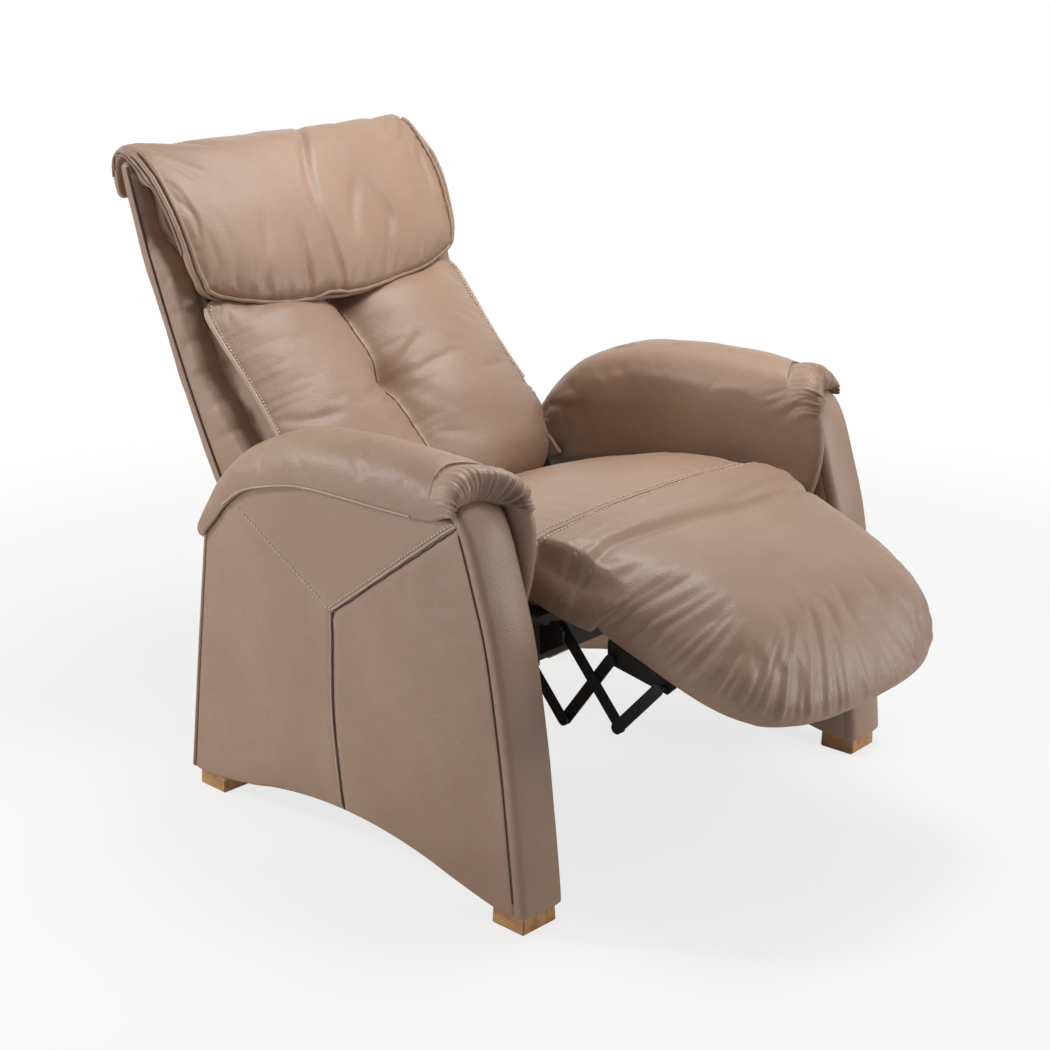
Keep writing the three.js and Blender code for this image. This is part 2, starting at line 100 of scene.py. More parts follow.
def smooth_line(points):
    """A smooth curve through the points, as a function of the share of its length."""
    p = np.asarray(points, float)
    q = with_ends(p)
    t = np.linspace(0, 1, 24, endpoint=False)[:, None]
    fine = np.vstack([*(blend_four(*four, t) for four in zip(q, q[1:], q[2:], q[3:])), p[-1:]])
    run = lengths_along(fine)

    def at(share):
        place = np.clip(share, 0, 1) * run[-1]
        return np.stack([np.interp(place, run, fine[:, k]) for k in range(p.shape[1])], -1)

    at.length = run[-1]
    return at


def table(*pairs):
    """A smooth function through (in, out) pairs that rise in their first number."""
    line = smooth_line(pairs)
    fine = line(np.linspace(0, 1, 400))
    return lambda value: np.interp(value, fine[:, 0], fine[:, 1])


def by_index(points, place):
    """A smooth curve through the points, read by point number."""
    p = with_ends(points)
    i = np.clip(place.astype(int), 0, len(points) - 2)
    return blend_four(p[i], p[i + 1], p[i + 2], p[i + 3], (place - i)[:, None])


def square_to(path, share, step):
    """Unit vectors square to a path in the side view, measured over a short step of it."""
    way = path(share + step) - path(share - step)
    way = way / np.linalg.norm(way, axis=-1, keepdims=True)
    return np.stack([-way[..., 1], way[..., 0]], -1)


def ease(low, high, value):
    t = np.clip((value - low) / (high - low), 0, 1)
    return t * t * (3 - 2 * t)


def block(cells, half, radius):
    """The skin of a rounded block: its points, centred on the origin, and outward quads."""
    n = np.array(cells)
    keys, quads, count = [], [], 0
    for axis in range(3):
        i, j = (axis + 1) % 3, (axis + 2) % 3
        for side in (0, 1):
            u, v = np.meshgrid(np.arange(n[i] + 1), np.arange(n[j] + 1), indexing="ij")
            key = np.zeros(u.shape + (3,), int)
            key[..., axis], key[..., i], key[..., j] = side * n[axis], u, v
            index = count + np.arange(u.size).reshape(u.shape)
            quad = np.stack([index[:-1, :-1], index[1:, :-1], index[1:, 1:], index[:-1, 1:]], -1)
            quads.append(quad.reshape(-1, 4)[:, :: 1 if side else -1])
            keys.append(key.reshape(-1, 3))
            count += u.size
    keys, inverse = np.unique(np.vstack(keys), axis=0, return_inverse=True)
    quads = inverse.reshape(-1)[np.vstack(quads)]
    share = keys / n * 2 - 1
    share = 0.6 * share + 0.4 * np.sin(share * math.pi / 2)
    half, radius = np.array(half, float), np.array(radius, float)
    points = share * half
    core = np.clip(points, radius - half, half - radius)
    away = (points - core) / radius
    length = np.maximum(np.linalg.norm(away, axis=1, keepdims=True), 1e-9)
    return np.where(np.abs(away) > 0, core + radius * away / length, points), quads


def round_corner(a, b, half_a, low_b, radius):
    """Moves plan places near the corners at low_b onto a round corner of the given radius."""
    p = np.clip((np.abs(a) - (half_a - radius)) / radius, 0, None)
    q = np.clip((low_b + radius - b) / radius, 0, None)
    inside = (p > 0) & (q > 0)
    new_p = np.where(inside, p * np.sqrt(np.maximum(1 - q * q / 2, 0)), p)
    new_q = np.where(inside, q * np.sqrt(np.maximum(1 - p * p / 2, 0)), q)
    return a + np.sign(a) * (new_p - p) * radius, b - (new_q - q) * radius


def outward(points, quads):
    """The quads in the order that faces them outwards, judged by the volume that they close in."""
    a, b, c, d = (points[quads[:, k]] for k in range(4))
    volume = np.einsum("ij,ij->", (a + b + c + d) / 4, np.cross(c - a, d - b))
    return quads if volume > 0 else quads[:, ::-1]


def normals(points, quads):
    a, b, c, d = (points[quads[:, k]] for k in range(4))
    face = np.cross(c - a, d - b)
    total = np.zeros_like(points)
    for k in range(4):
        np.add.at(total, quads[:, k], face)
    return total / np.maximum(np.linalg.norm(total, axis=1, keepdims=True), 1e-12)


def push(points, quads, amount):
    return points + normals(points, outward(points, quads)) * np.asarray(amount)[:, None]


def ripple(places, size, seed, waves=14):
    """Soft unevenness from -1 to 1 that repeats about every size millimetres."""
    rng = np.random.default_rng(seed)
    total = np.zeros(len(places))
    for _ in range(waves):
        way = rng.normal(size=places.shape[1])
        way *= 2 * math.pi / size * rng.uniform(0.6, 1.5) / np.linalg.norm(way)
        total += np.sin(places @ way + rng.uniform(0, 2 * math.pi))
    return total / math.sqrt(waves) * 0.8


def gap_to(places, line):
    """Each place's distance from a polyline, and how far along the line that is."""
    line = np.asarray(line, float)
    best, along, run = np.full(len(places), 1e9), np.zeros(len(places)), 0
    for a, b in zip(line, line[1:]):
        way = b - a
        t = np.clip((places - a) @ way / (way @ way), 0, 1)
        gap = np.linalg.norm(places - a - t[:, None] * way, axis=1)
        nearer = gap < best
        best = np.where(nearer, gap, best)
        along = np.where(nearer, run + t * np.linalg.norm(way), along)
        run += np.linalg.norm(way)
    return best, along / run


def crease(places, line, depth, width):
    """A fold along a line: a valley with a soft lip on each side, fading at its ends."""
    gap, along = gap_to(places, line)
    fade = np.sin(math.pi * np.clip(along, 0.02, 0.98)) ** 0.5
    x = (gap / width) ** 2
    return depth * fade * (0.6 * x - 1) * np.exp(-x)


def creased(amount, places, folds, share=1):
    """The amount with a crease added for each fold: its line, depth and width."""
    for line, depth, width in folds:
        amount = amount + crease(places, line, depth, width) * share
    return amount


def puckers(along, gap, pitch, depth, reach, seed):
    """Short folds that gathered leather makes square to a seam, fading away from it."""
    rng = np.random.default_rng(seed)
    wander = np.interp(along, np.linspace(along.min(), along.max(), 24), rng.uniform(-0.6, 0.6, 24))
    strength = np.interp(along, np.linspace(along.min(), along.max(), 31), rng.uniform(0.3, 1, 31))
    wave = np.cos(2 * math.pi * (along / pitch + wander))
    return depth * strength * wave * np.exp(-gap / reach)


# %% [markdown]
# ## Finishes
# Semi-aniline leather keeps a fine pebble grain, slightly cloudy dye and a satin coat. The grain
# is bump from cell noise about a millimetre wide, the clouds are large soft noise, and the
# roughness follows a finer noise, so the highlights break up as they do on a real hide. The thread is
# matte and paler. Oak gets stretched noise for its grain, and the steel a fine orange peel.

# %% Finishes
def node(tree, kind, **inputs):
    made = tree.nodes.new(kind)
    for name, value in inputs.items():
        made.inputs[name.replace("_", " ")].default_value = value
    return made


def new_material(name):
    material = bpy.data.materials.new(name)
    material.use_nodes = True
    tree = material.node_tree
    place = tree.nodes.new("ShaderNodeTexCoord").outputs["Object"]
    return material, tree, tree.nodes["Principled BSDF"], place


def joined(tree, kind, operation, *sources):
    """A node whose inputs are fed in order by sockets, or set where a source is a number."""
    made = tree.nodes.new(kind)
    if operation:
        made.operation = operation
    for slot, source in enumerate(sources):
        if isinstance(source, float):
            made.inputs[slot].default_value = source
        else:
            tree.links.new(source, made.inputs[slot])
    return made.outputs[0]


def ramp(tree, stops, source):
    made = tree.nodes.new("ShaderNodeValToRGB")
    for end, (place, colour) in zip(made.color_ramp.elements, (stops[0], stops[-1])):
        end.position, end.color = place, (*colour, 1)
    for place, colour in stops[1:-1]:
        made.color_ramp.elements.new(place).color = (*colour, 1)
    tree.links.new(source, made.inputs["Fac"])
    return made.outputs["Color"]


def bump(tree, height, strength, distance, below=None):
    made = node(tree, "ShaderNodeBump", Strength=strength, Distance=distance)
    tree.links.new(height, made.inputs["Height"])
    if below is not None:
        tree.links.new(below, made.inputs["Normal"])
    return made.outputs["Normal"]


def leather_finish(name, dark, mid, light, roughness=(0.36, 0.52)):
    material, tree, shader, place = new_material(name)
    clouds = node(tree, "ShaderNodeTexNoise", Scale=7.0, Detail=4.0, Roughness=0.55)
    fine = node(tree, "ShaderNodeTexNoise", Scale=90.0, Detail=5.0, Roughness=0.65)
    pebbles = node(tree, "ShaderNodeTexVoronoi", Scale=430.0, Randomness=1.0)
    pores = node(tree, "ShaderNodeTexNoise", Scale=1500.0, Detail=2.0, Roughness=0.5)
    for texture in (clouds, fine, pebbles, pores):
        tree.links.new(place, texture.inputs["Vector"])
    mixed = joined(tree, "ShaderNodeMath", "MULTIPLY_ADD", fine.outputs["Fac"], 0.3, clouds.outputs["Fac"])
    colour = ramp(tree, [(0.3, dark), (0.65, mid), (1.0, light)], mixed)
    tree.links.new(colour, shader.inputs["Base Color"])
    gloss = node(tree, "ShaderNodeMapRange", To_Min=roughness[0], To_Max=roughness[1])
    tree.links.new(fine.outputs["Fac"], gloss.inputs["Value"])
    tree.links.new(gloss.outputs["Result"], shader.inputs["Roughness"])
    first = bump(tree, pebbles.outputs["Distance"], 0.3, 0.0009)
    second = bump(tree, pores.outputs["Fac"], 0.12, 0.0002, first)
    third = bump(tree, fine.outputs["Fac"], 0.12, 0.0012, second)
    tree.links.new(third, shader.inputs["Normal"])
    for name, value in (("Sheen Weight", 0.04), ("Sheen Roughness", 0.4), ("Specular IOR Level", 0.42),
                        ("Coat Weight", 0.03), ("Coat Roughness", 0.28)):
        shader.inputs[name].default_value = value
    return material


def plain_finish(name, colour, roughness, grain=400.0, strength=0.2, depth=0.0003, metallic=0.0):
    material, tree, shader, place = new_material(name)
    noise = node(tree, "ShaderNodeTexNoise", Scale=grain, Detail=3.0)
    tree.links.new(place, noise.inputs["Vector"])
    low, high = (tuple(c * k for c in colour) for k in (0.82, 1.12))
    tint = ramp(tree, [(0.3, low), (0.7, high)], noise.outputs["Fac"])
    tree.links.new(tint, shader.inputs["Base Color"])
    tree.links.new(bump(tree, noise.outputs["Fac"], strength, depth), shader.inputs["Normal"])
    shader.inputs["Roughness"].default_value = roughness
    shader.inputs["Metallic"].default_value = metallic
    return material


def wood_finish(name, dark, light, roughness, stretch):
    material, tree, shader, place = new_material(name)
    mapping = tree.nodes.new("ShaderNodeMapping")
    mapping.inputs["Scale"].default_value = stretch
    tree.links.new(place, mapping.inputs["Vector"])
    grain = node(tree, "ShaderNodeTexNoise", Scale=38.0, Detail=6.0, Roughness=0.6, Distortion=0.6)
    fibres = node(tree, "ShaderNodeTexNoise", Scale=260.0, Detail=3.0)
    for texture in (grain, fibres):
        tree.links.new(mapping.outputs["Vector"], texture.inputs["Vector"])
    colour = ramp(tree, [(0.35, dark), (0.62, light)], grain.outputs["Fac"])
    tree.links.new(colour, shader.inputs["Base Color"])
    first = bump(tree, fibres.outputs["Fac"], 0.25, 0.0003)
    tree.links.new(first, shader.inputs["Normal"])
    shader.inputs["Roughness"].default_value = roughness
    return material


hide = leather_finish("taupe_leather", (0.296, 0.186, 0.127), (0.338, 0.218, 0.151), (0.382, 0.254, 0.180))
piping = leather_finish("piping_leather", (0.20, 0.135, 0.10), (0.27, 0.185, 0.14), (0.33, 0.235, 0.18))
# A paler copy of the leather for the fold cords, the pad hems and the cushion flange: a painted highlight along
# their ridges.
painted_highlight_leather = leather_finish("painted_highlight_leather", (0.40, 0.29, 0.22), (0.46, 0.34, 0.26), (0.52, 0.39, 0.30))
thread = plain_finish("pale_thread", (0.72, 0.60, 0.47), 0.8, 900.0)
seam_dark = plain_finish("seam_shadow", (0.06, 0.035, 0.026), 0.8, 500.0)
oak = wood_finish("oiled_oak", (0.33, 0.155, 0.055), (0.56, 0.31, 0.125), 0.42, (2.0, 0.35, 2.0))
# The frame timber is near black: painted shade for the dark hollow under the seat and round the mechanism.
shade_black_timber = wood_finish("timber_painted_shade", (0.018, 0.013, 0.010), (0.045, 0.032, 0.024), 0.6, (0.4, 2.0, 2.0))
steel = plain_finish("black_powder_coat", (0.006, 0.006, 0.007), 0.48, 1200.0, 0.25, 0.0002)
strap = plain_finish("elastic_webbing", (0.03, 0.03, 0.03), 0.9, 700.0, 0.6, 0.0006)
by_slot = {"leather": hide, "oak": oak, "frame_wood": shade_black_timber, "webbing": strap, "black_steel": steel}
for sub in frame["record"]["subparts"]:
    cad = frame["nodes"][sub["node"]]
    cad.data.materials.clear()
    cad.data.materials.append(by_slot[sub["material_slot"]])
print("finishes", len(bpy.data.materials))


# %% [markdown]
# ## Turning points into pieces
# `piece` builds the mesh in the frame, smooth shaded, and gives it its finish.
# `lay_on` drops a drawn seam line onto a finished cover, so that stitches and piping follow the
# surface wherever the folds have moved it.

# %% Turning points into pieces
def piece(name, points, quads, material=hide):
    mesh = bpy.data.meshes.new(name)
    mesh.from_pydata(metres(points).tolist(), [], outward(points, quads).tolist())
    mesh.polygons.foreach_set("use_smooth", [True] * len(mesh.polygons))
    mesh.materials.append(material)
    made = bpy.data.objects.new(name, mesh)
    bpy.context.scene.collection.objects.link(made)
    return made


def cover(made, fill, body, *stands_for):
    """Hides the CAD nodes that a padded cover stands for and attaches it to the body it rides; fill, how full
    it is, is not used.
    """
    if stands_for:
        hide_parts(*stands_for)
    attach(made, body)
    return made


def plain_mesh(source, name, material=None):
    """The evaluated object as a mesh object with no modifiers, at the origin."""
    bpy.context.view_layer.update()
    graph = bpy.context.evaluated_depsgraph_get()
    mesh = bpy.data.meshes.new_from_object(source.evaluated_get(graph), depsgraph=graph)
    made = bpy.data.objects.new(name, mesh)
    mesh.name = name
    if material is not None:
        mesh.materials.clear()
        mesh.materials.append(material)
    mesh.polygons.foreach_set("use_smooth", [True] * len(mesh.polygons))
    bpy.context.scene.collection.objects.link(made)
    old = source.data
    bpy.data.objects.remove(source)
    if isinstance(old, bpy.types.Curve):
        bpy.data.curves.remove(old)
    return made


def lines_object(name, lines, radius=0.0):
    """Polylines in millimetres as one curve object, a round cord if it has a radius."""
    curve = bpy.data.curves.new(name, "CURVE")
    curve.dimensions = "3D"
    curve.bevel_depth = radius / 1000
    curve.bevel_resolution = 2
    curve.use_fill_caps = True
    for line in lines:
        spline = curve.splines.new("POLY")
        spline.points.add(len(line) - 1)
        spline.points.foreach_set("co", np.column_stack([metres(line), np.ones(len(line))]).ravel())
    made = bpy.data.objects.new(name, curve)
    bpy.context.scene.collection.objects.link(made)
    return made


def cord_piece(name, lines, radius, material=piping):
    made = plain_mesh(lines_object(name + "_path", lines, radius), name, material)
    return made


def lay_on(target, line, lift=0.0, spacing=4.0):
    """The line, resampled and moved to the nearest place on a finished cover."""
    path = smooth_line(line)
    points = path(np.linspace(0, 1, max(3, int(path.length / spacing))))
    tree = BVHTree.FromPolygons([v.co for v in target.data.vertices],
                                [p.vertices for p in target.data.polygons])
    laid = []
    for point in metres(points):
        spot, normal, _, _ = tree.find_nearest(Vector(point))
        laid.append(np.array(spot + normal * lift / 1000))
    laid = np.array(laid)
    for _ in range(2):
        laid[1:-1] = (laid[:-2] + 2 * laid[1:-1] + laid[2:]) / 4
    laid[:, 1] -= feet_y
    return laid * 1000


# %% [markdown]
# ## Filling the covers
# Leather over foam is a skin under gentle pressure from inside. The pads, seat, footrest, back
# cushion and pillow therefore go through Blender's cloth solver for twenty frames with a little
# slack and no gravity. Their seams and hidden sides are pinned, so the free leather swells and
# buckles between them. How far a point may move is capped, and the result is kept in the mesh.

# %% Filling the covers
scene = bpy.context.scene


def fill_cover(target, free, pressure=4.0, slack=0.012, cap=8.0):
    """Runs the cloth solver on a cover; free is 0 where it is pinned and 1 where it can move."""
    start = np.array([v.co for v in target.data.vertices])
    faces = np.array([p.vertices for p in target.data.polygons])
    faces = faces[(free[faces] > 0.02).any(axis=1)]
    used, local = np.unique(faces, return_inverse=True)
    mesh = bpy.data.meshes.new("filling")
    mesh.from_pydata(start[used].tolist(), [], local.reshape(faces.shape).tolist())
    skin = bpy.data.objects.new("filling", mesh)
    scene.collection.objects.link(skin)
    held = skin.vertex_groups.new(name="held")
    level = np.round((1 - free[used]) * 10).astype(int)
    for step in range(1, 11):
        held.add(np.nonzero(level == step)[0].tolist(), step / 10, "REPLACE")
    cloth = skin.modifiers.new("filling", "CLOTH")
    rules = cloth.settings
    rules.quality, rules.mass = 4, 0.2
    rules.tension_stiffness = rules.compression_stiffness = 12
    rules.shear_stiffness, rules.bending_stiffness = 8, 0.6
    rules.vertex_group_mass, rules.pin_stiffness = "held", 1
    rules.use_pressure, rules.uniform_pressure_force = True, pressure
    rules.shrink_min = rules.shrink_max = -slack
    rules.effector_weights.gravity = 0
    cloth.point_cache.frame_start, cloth.point_cache.frame_end = 1, 20
    for moment in range(1, 21):
        scene.frame_set(moment)
    graph = bpy.context.evaluated_depsgraph_get()
    swollen = start.copy()
    swollen[used] = [v.co for v in skin.evaluated_get(graph).data.vertices]
    bpy.data.objects.remove(skin)
    bpy.data.meshes.remove(mesh)
    scene.frame_set(1)
    move = (swollen - start) * free[:, None]
    length = np.maximum(np.linalg.norm(move, axis=1, keepdims=True), 1e-9)
    move *= cap / 1000 * np.tanh(length / cap * 1000) / length
    target.data.vertices.foreach_set("co", (start + move).ravel())
    target.data.update()
    moved = 1000 * np.linalg.norm(move, axis=1)
    print(target.name, "swelled by up to", round(float(moved.max()), 1), "mm,",
          "on average", round(float(moved[free > 0.5].mean()), 2), "mm")


# %% [markdown]
# ## The camera, the light and the floor
# A long lens stands left of the chair's front and looks slightly down. One broad lamp hangs above,
# the key lamp stands front right, a weak low one lights the near side, and a rim lamp behind it
# picks out the edges. A pale world lifts the shadows. Camera rays see the world as white, and the
# floor fades into it away from the chair.

# %% The camera, the light and the floor
scene.view_settings.view_transform = "Standard"
camera_data = bpy.data.cameras.new("camera")
camera_data.lens = 68.7
camera_data.sensor_width = 36
camera = bpy.data.objects.new("camera", camera_data)
camera_place = [-2030.5, -1512.4, 1257.2]
camera_aim = Vector((0.70445, 0.63877, -0.30940))
camera.location = metres(camera_place)
camera.rotation_euler = camera_aim.to_track_quat("-Z", "Y").to_euler()
scene.collection.objects.link(camera)
scene.camera = camera


def lamp(name, place, target, power, size):
    data = bpy.data.lights.new(name, "AREA")
    data.energy, data.shape, data.size = power, "DISK", size
    made = bpy.data.objects.new(name, data)
    made.location = place
    made.rotation_euler = (Vector(target) - Vector(place)).to_track_quat("-Z", "Y").to_euler()
    scene.collection.objects.link(made)


lamp("above", (0.25, -0.02, 1.8), (0, 0.15, 0.5), 17, 0.9)
lamp("key", (1.5, -2.2, 0.95), (0, 0, 0.45), 25, 1.1)
lamp("side", (-2.0, 0.85, 0.5), (-0.35, 0, 0.35), 8, 0.7)
lamp("rim", (-1.7, 1.7, 1.5), (-0.3, 0, 0.5), 22, 0.5)


def pale_world():
    """A dim room for the light, and plain white where the camera or a mirror ray sees it."""
    world = bpy.data.worlds.new("pale_room")
    scene.world = world
    world.use_nodes = True
    tree = world.node_tree
    room = tree.nodes["Background"]
    room.inputs["Color"].default_value = (1.0, 0.99, 0.98, 1)
    room.inputs["Strength"].default_value = 0.2
    seen = node(tree, "ShaderNodeBackground", Color=(1, 1, 1, 1), Strength=1.0)
    rays = tree.nodes.new("ShaderNodeLightPath").outputs
    either = joined(tree, "ShaderNodeMath", "MAXIMUM", rays["Is Camera Ray"], rays["Is Transmission Ray"])
    white = joined(tree, "ShaderNodeMath", "MAXIMUM", either, rays["Is Glossy Ray"])
    both = joined(tree, "ShaderNodeMixShader", None, white,
                  room.outputs["Background"], seen.outputs["Background"])
    tree.links.new(both, tree.nodes["World Output"].inputs["Surface"])


def pale_floor(reach=14.0, lift=0.76, fade_from=0.95, fade_to=2.1):
    """A matt floor, lifted for the camera by a share, which fades to white between two distances."""
    mesh = bpy.data.meshes.new("floor")
    mesh.from_pydata([(-reach, -reach, 0), (reach, -reach, 0), (reach, reach, 0), (-reach, reach, 0)],
                     [], [(0, 1, 2, 3)])
    made = bpy.data.objects.new("floor", mesh)
    scene.collection.objects.link(made)
    finish, tree, shader, place = new_material("pale_floor")
    shader.inputs["Base Color"].default_value = (0.93, 0.93, 0.93, 1)
    shader.inputs["Roughness"].default_value = 0.9
    shader.inputs["Specular IOR Level"].default_value = 0.1
    length = tree.nodes.new("ShaderNodeVectorMath")
    length.operation = "LENGTH"
    tree.links.new(place, length.inputs[0])
    fade = node(tree, "ShaderNodeMapRange", From_Min=fade_from, From_Max=fade_to)
    fade.interpolation_type = "SMOOTHSTEP"
    tree.links.new(length.outputs["Value"], fade.inputs["Value"])
    camera_ray = tree.nodes.new("ShaderNodeLightPath").outputs["Is Camera Ray"]
    faded = joined(tree, "ShaderNodeMath", "MULTIPLY", fade.outputs["Result"], camera_ray)
    lifted = joined(tree, "ShaderNodeMath", "MULTIPLY", camera_ray, lift)
    white = node(tree, "ShaderNodeEmission", Color=(1, 1, 1, 1), Strength=1.0).outputs["Emission"]
    pale = joined(tree, "ShaderNodeMixShader", None, lifted, shader.outputs["BSDF"], white)
    both = joined(tree, "ShaderNodeMixShader", None, faded, pale, white)
    tree.links.new(both, tree.nodes["Material Output"].inputs["Surface"])
    mesh.materials.append(finish)
    return made


pale_world()
floor = pale_floor()
print("camera, lamps, world and floor")


# %% [markdown]
# ## Stitches
# Every visible seam has a row of thread. A geometry-node tree walks along the seam lines and
# sets a short rounded stitch at each step, so one tree serves all the seams on a body.

# %% Stitches
def stitch_tree():
    tree = bpy.data.node_groups.new("stitch_row", "GeometryNodeTree")
    face = tree.interface
    face.new_socket("Geometry", in_out="INPUT", socket_type="NodeSocketGeometry")
    for name, value in (("Spacing", 0.006), ("Length", 0.004), ("Thickness", 0.0011)):
        socket = face.new_socket(name, in_out="INPUT", socket_type="NodeSocketFloat")
        socket.default_value = value
    face.new_socket("Thread", in_out="INPUT", socket_type="NodeSocketMaterial")
    face.new_socket("Geometry", in_out="OUTPUT", socket_type="NodeSocketGeometry")
    start, end = tree.nodes.new("NodeGroupInput"), tree.nodes.new("NodeGroupOutput")
    walk = tree.nodes.new("GeometryNodeCurveToPoints")
    walk.mode = "LENGTH"
    aim = tree.nodes.new("FunctionNodeAlignRotationToVector")
    aim.axis = "Z"
    bead = tree.nodes.new("GeometryNodeMeshUVSphere")
    bead.inputs["Segments"].default_value = 6
    bead.inputs["Rings"].default_value = 4
    bead.inputs["Radius"].default_value = 0.5
    size = tree.nodes.new("ShaderNodeCombineXYZ")
    put = tree.nodes.new("GeometryNodeInstanceOnPoints")
    real = tree.nodes.new("GeometryNodeRealizeInstances")
    paint = tree.nodes.new("GeometryNodeSetMaterial")
    link = tree.links.new
    link(start.outputs["Geometry"], walk.inputs["Curve"])
    link(start.outputs["Spacing"], walk.inputs["Length"])
    link(walk.outputs["Tangent"], aim.inputs["Vector"])
    link(walk.outputs["Points"], put.inputs["Points"])
    link(bead.outputs["Mesh"], put.inputs["Instance"])
    link(aim.outputs["Rotation"], put.inputs["Rotation"])
    for axis, name in (("X", "Thickness"), ("Y", "Thickness"), ("Z", "Length")):
        link(start.outputs[name], size.inputs[axis])
    link(size.outputs["Vector"], put.inputs["Scale"])
    link(put.outputs["Instances"], real.inputs["Geometry"])
    link(real.outputs["Geometry"], paint.inputs["Geometry"])
    link(start.outputs["Thread"], paint.inputs["Material"])
    link(paint.outputs["Geometry"], end.inputs["Geometry"])
    return tree


stitch_row = stitch_tree()


def stitches(name, body, lines, spacing=6.4, length=4.6, thickness=2.0, material=thread):
    source = lines_object(name + "_path", lines)
    modifier = source.modifiers.new("stitches", "NODES")
    modifier.node_group = stitch_row
    wanted = {"Spacing": spacing / 1000, "Length": length / 1000, "Thickness": thickness / 1000,
              "Thread": material}
    for item in stitch_row.interface.items_tree:
        if item.in_out == "INPUT" and item.name in wanted:
            modifier[item.identifier] = wanted[item.name]
    made = plain_mesh(source, name)
    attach(made, body)
    print(name, len(made.data.polygons), "faces")
    return made


# %% [markdown]
# ## The arms
# Each arm is a frame with padded leather around it: an outer and an inner side panel, a front
# facing that ends in a rounded thumb, a strip over the rear end and the thick pad on top.
# The side panels are patches inside four edge curves, so their rows of quads follow the arched
# foot line, the bowed front and the humped top. The outer panel is sewn from three hides that
# meet in a V; the seams are pressed into the padding and get thread afterwards.

# %% Arm outline
def in_arm(side, out, back, up):
    """Arm measures as chair millimetres: the arms stand slightly splayed, by the toe angle."""
    x = side * (foot_x + out * math.cos(toe) - back * math.sin(toe))
    return np.stack([x, out * math.sin(toe) + back * math.cos(toe), up + 0 * x], -1)


def bezier(*controls, count=10):
    t = np.linspace(0, 1, count)[:, None]
    order = len(controls) - 1
    terms = [math.comb(order, k) * t**k * (1 - t) ** (order - k) * np.array(c, float)
             for k, c in enumerate(controls)]
    return sum(terms)


foot_top = 24.3
facing_edge = [(-32, foot_top), (-29, 60), (-19, 150), (-8, 237), (14, 365), (38, 446), (52, 488), (62, 510)]
thumb = [(74, 526), (92, 534), (112, 533)]
hem_line = [(92, 529), (113, 521), (149, 517), (203, 516), (258, 515), (315, 514), (375, 509), (426, 498),
            (479, 480), (519, 452), (545, 425), (566, 404)]
arch = bezier((44, foot_top), (292, foot_top + 80), (540, foot_top), count=12)
edge_bottom = smooth_line([(-19.5, foot_top), (20, foot_top), *arch[1:-1], (580, foot_top), (624, foot_top)])
edge_top = smooth_line([(76, 519), *hem_line[1:]])
edge_front = smooth_line([*[(y + 12.5, z) for y, z in facing_edge[:-1]], (76, 519)])
edge_rear = smooth_line([(624, foot_top), (596, 214), (566, 404)])


def side_patch(u, w):
    """Back and up on the arm's side, for shares u from front to rear and w from bottom to top."""
    u, w = u[:, None], w[:, None]
    corners = (edge_bottom(0), edge_bottom(1), edge_top(0), edge_top(1))
    ruled_up = (1 - w) * edge_bottom(u[:, 0]) + w * edge_top(u[:, 0])
    ruled_back = (1 - u) * edge_front(w[:, 0]) + u * edge_rear(w[:, 0])
    plain = ((1 - u) * (1 - w) * corners[0] + u * (1 - w) * corners[1]
             + (1 - u) * w * corners[2] + u * w * corners[3])
    return ruled_up + ruled_back - plain


seam_meet = (304, 347)
vee_front = [seam_meet, (186, 432), (68, 517)]
vee_rear = [seam_meet, (400, 398), (492, 448)]
down_seam = [seam_meet, (308, 210), (296, 66)]


def panel_relief(places):
    """How far the outer leather stands out over its padding, in millimetres."""
    out = 0.6 * ripple(places, 190, 3) + 0.12 * ripple(places, 48, 4)
    for line, depth, soft in ((vee_front, 2.6, 3.4), (vee_rear, 1.5, 3.0), (down_seam, 2.2, 3.4)):
        gap, along = gap_to(places, line)
        out -= depth * np.exp(-((gap / soft) ** 2))
        out += 1.2 * np.exp(-((gap / 24) ** 2)) * (1 - np.exp(-((gap / 8) ** 2)))
        out += puckers(along * 320, gap, 23, 0.22, 14, 8)
    out = creased(out, places, [
        ([(150, 470), (165, 430), (162, 380)], 0.9, 14),
        ([(105, 450), (118, 420), (110, 372)], 0.8, 10),
        ([(60, 420), (95, 405), (140, 398)], 0.8, 9),
        ([(50, 380), (85, 372), (120, 376)], 0.7, 8),
        ([(250, 120), (180, 102), (110, 74)], 0.8, 13),
        ([(400, 118), (470, 104), (540, 76)], 0.7, 13)])
    return out


# %% Side panels and facings
def arm_panel(side, name, face):
    fine = 1 if face > 0 else 0.5
    local, quads = block((4, int(150 * fine), int(106 * fine)), (8.5, 300, 215), (7, 6, 7))
    share = local[:, 1:] / [600, 430] + 0.5
    back_up = side_patch(share[:, 0], share[:, 1])
    swell = (1 - (2 * share[:, 0] - 1) ** 8) * (1 - (2 * share[:, 1] - 1) ** 8)
    reach = 3.0 * swell + (panel_relief(back_up) * np.minimum(1, 3 * swell) if face > 0 else 0)
    facing_out = ease(-2, 6, local[:, 0] * face)
    out = face * (29 + local[:, 0] * face + reach * facing_out)
    return piece(name, in_arm(side, out, back_up[:, 0], back_up[:, 1]), quads)


facing_line = smooth_line([*facing_edge, *thumb])


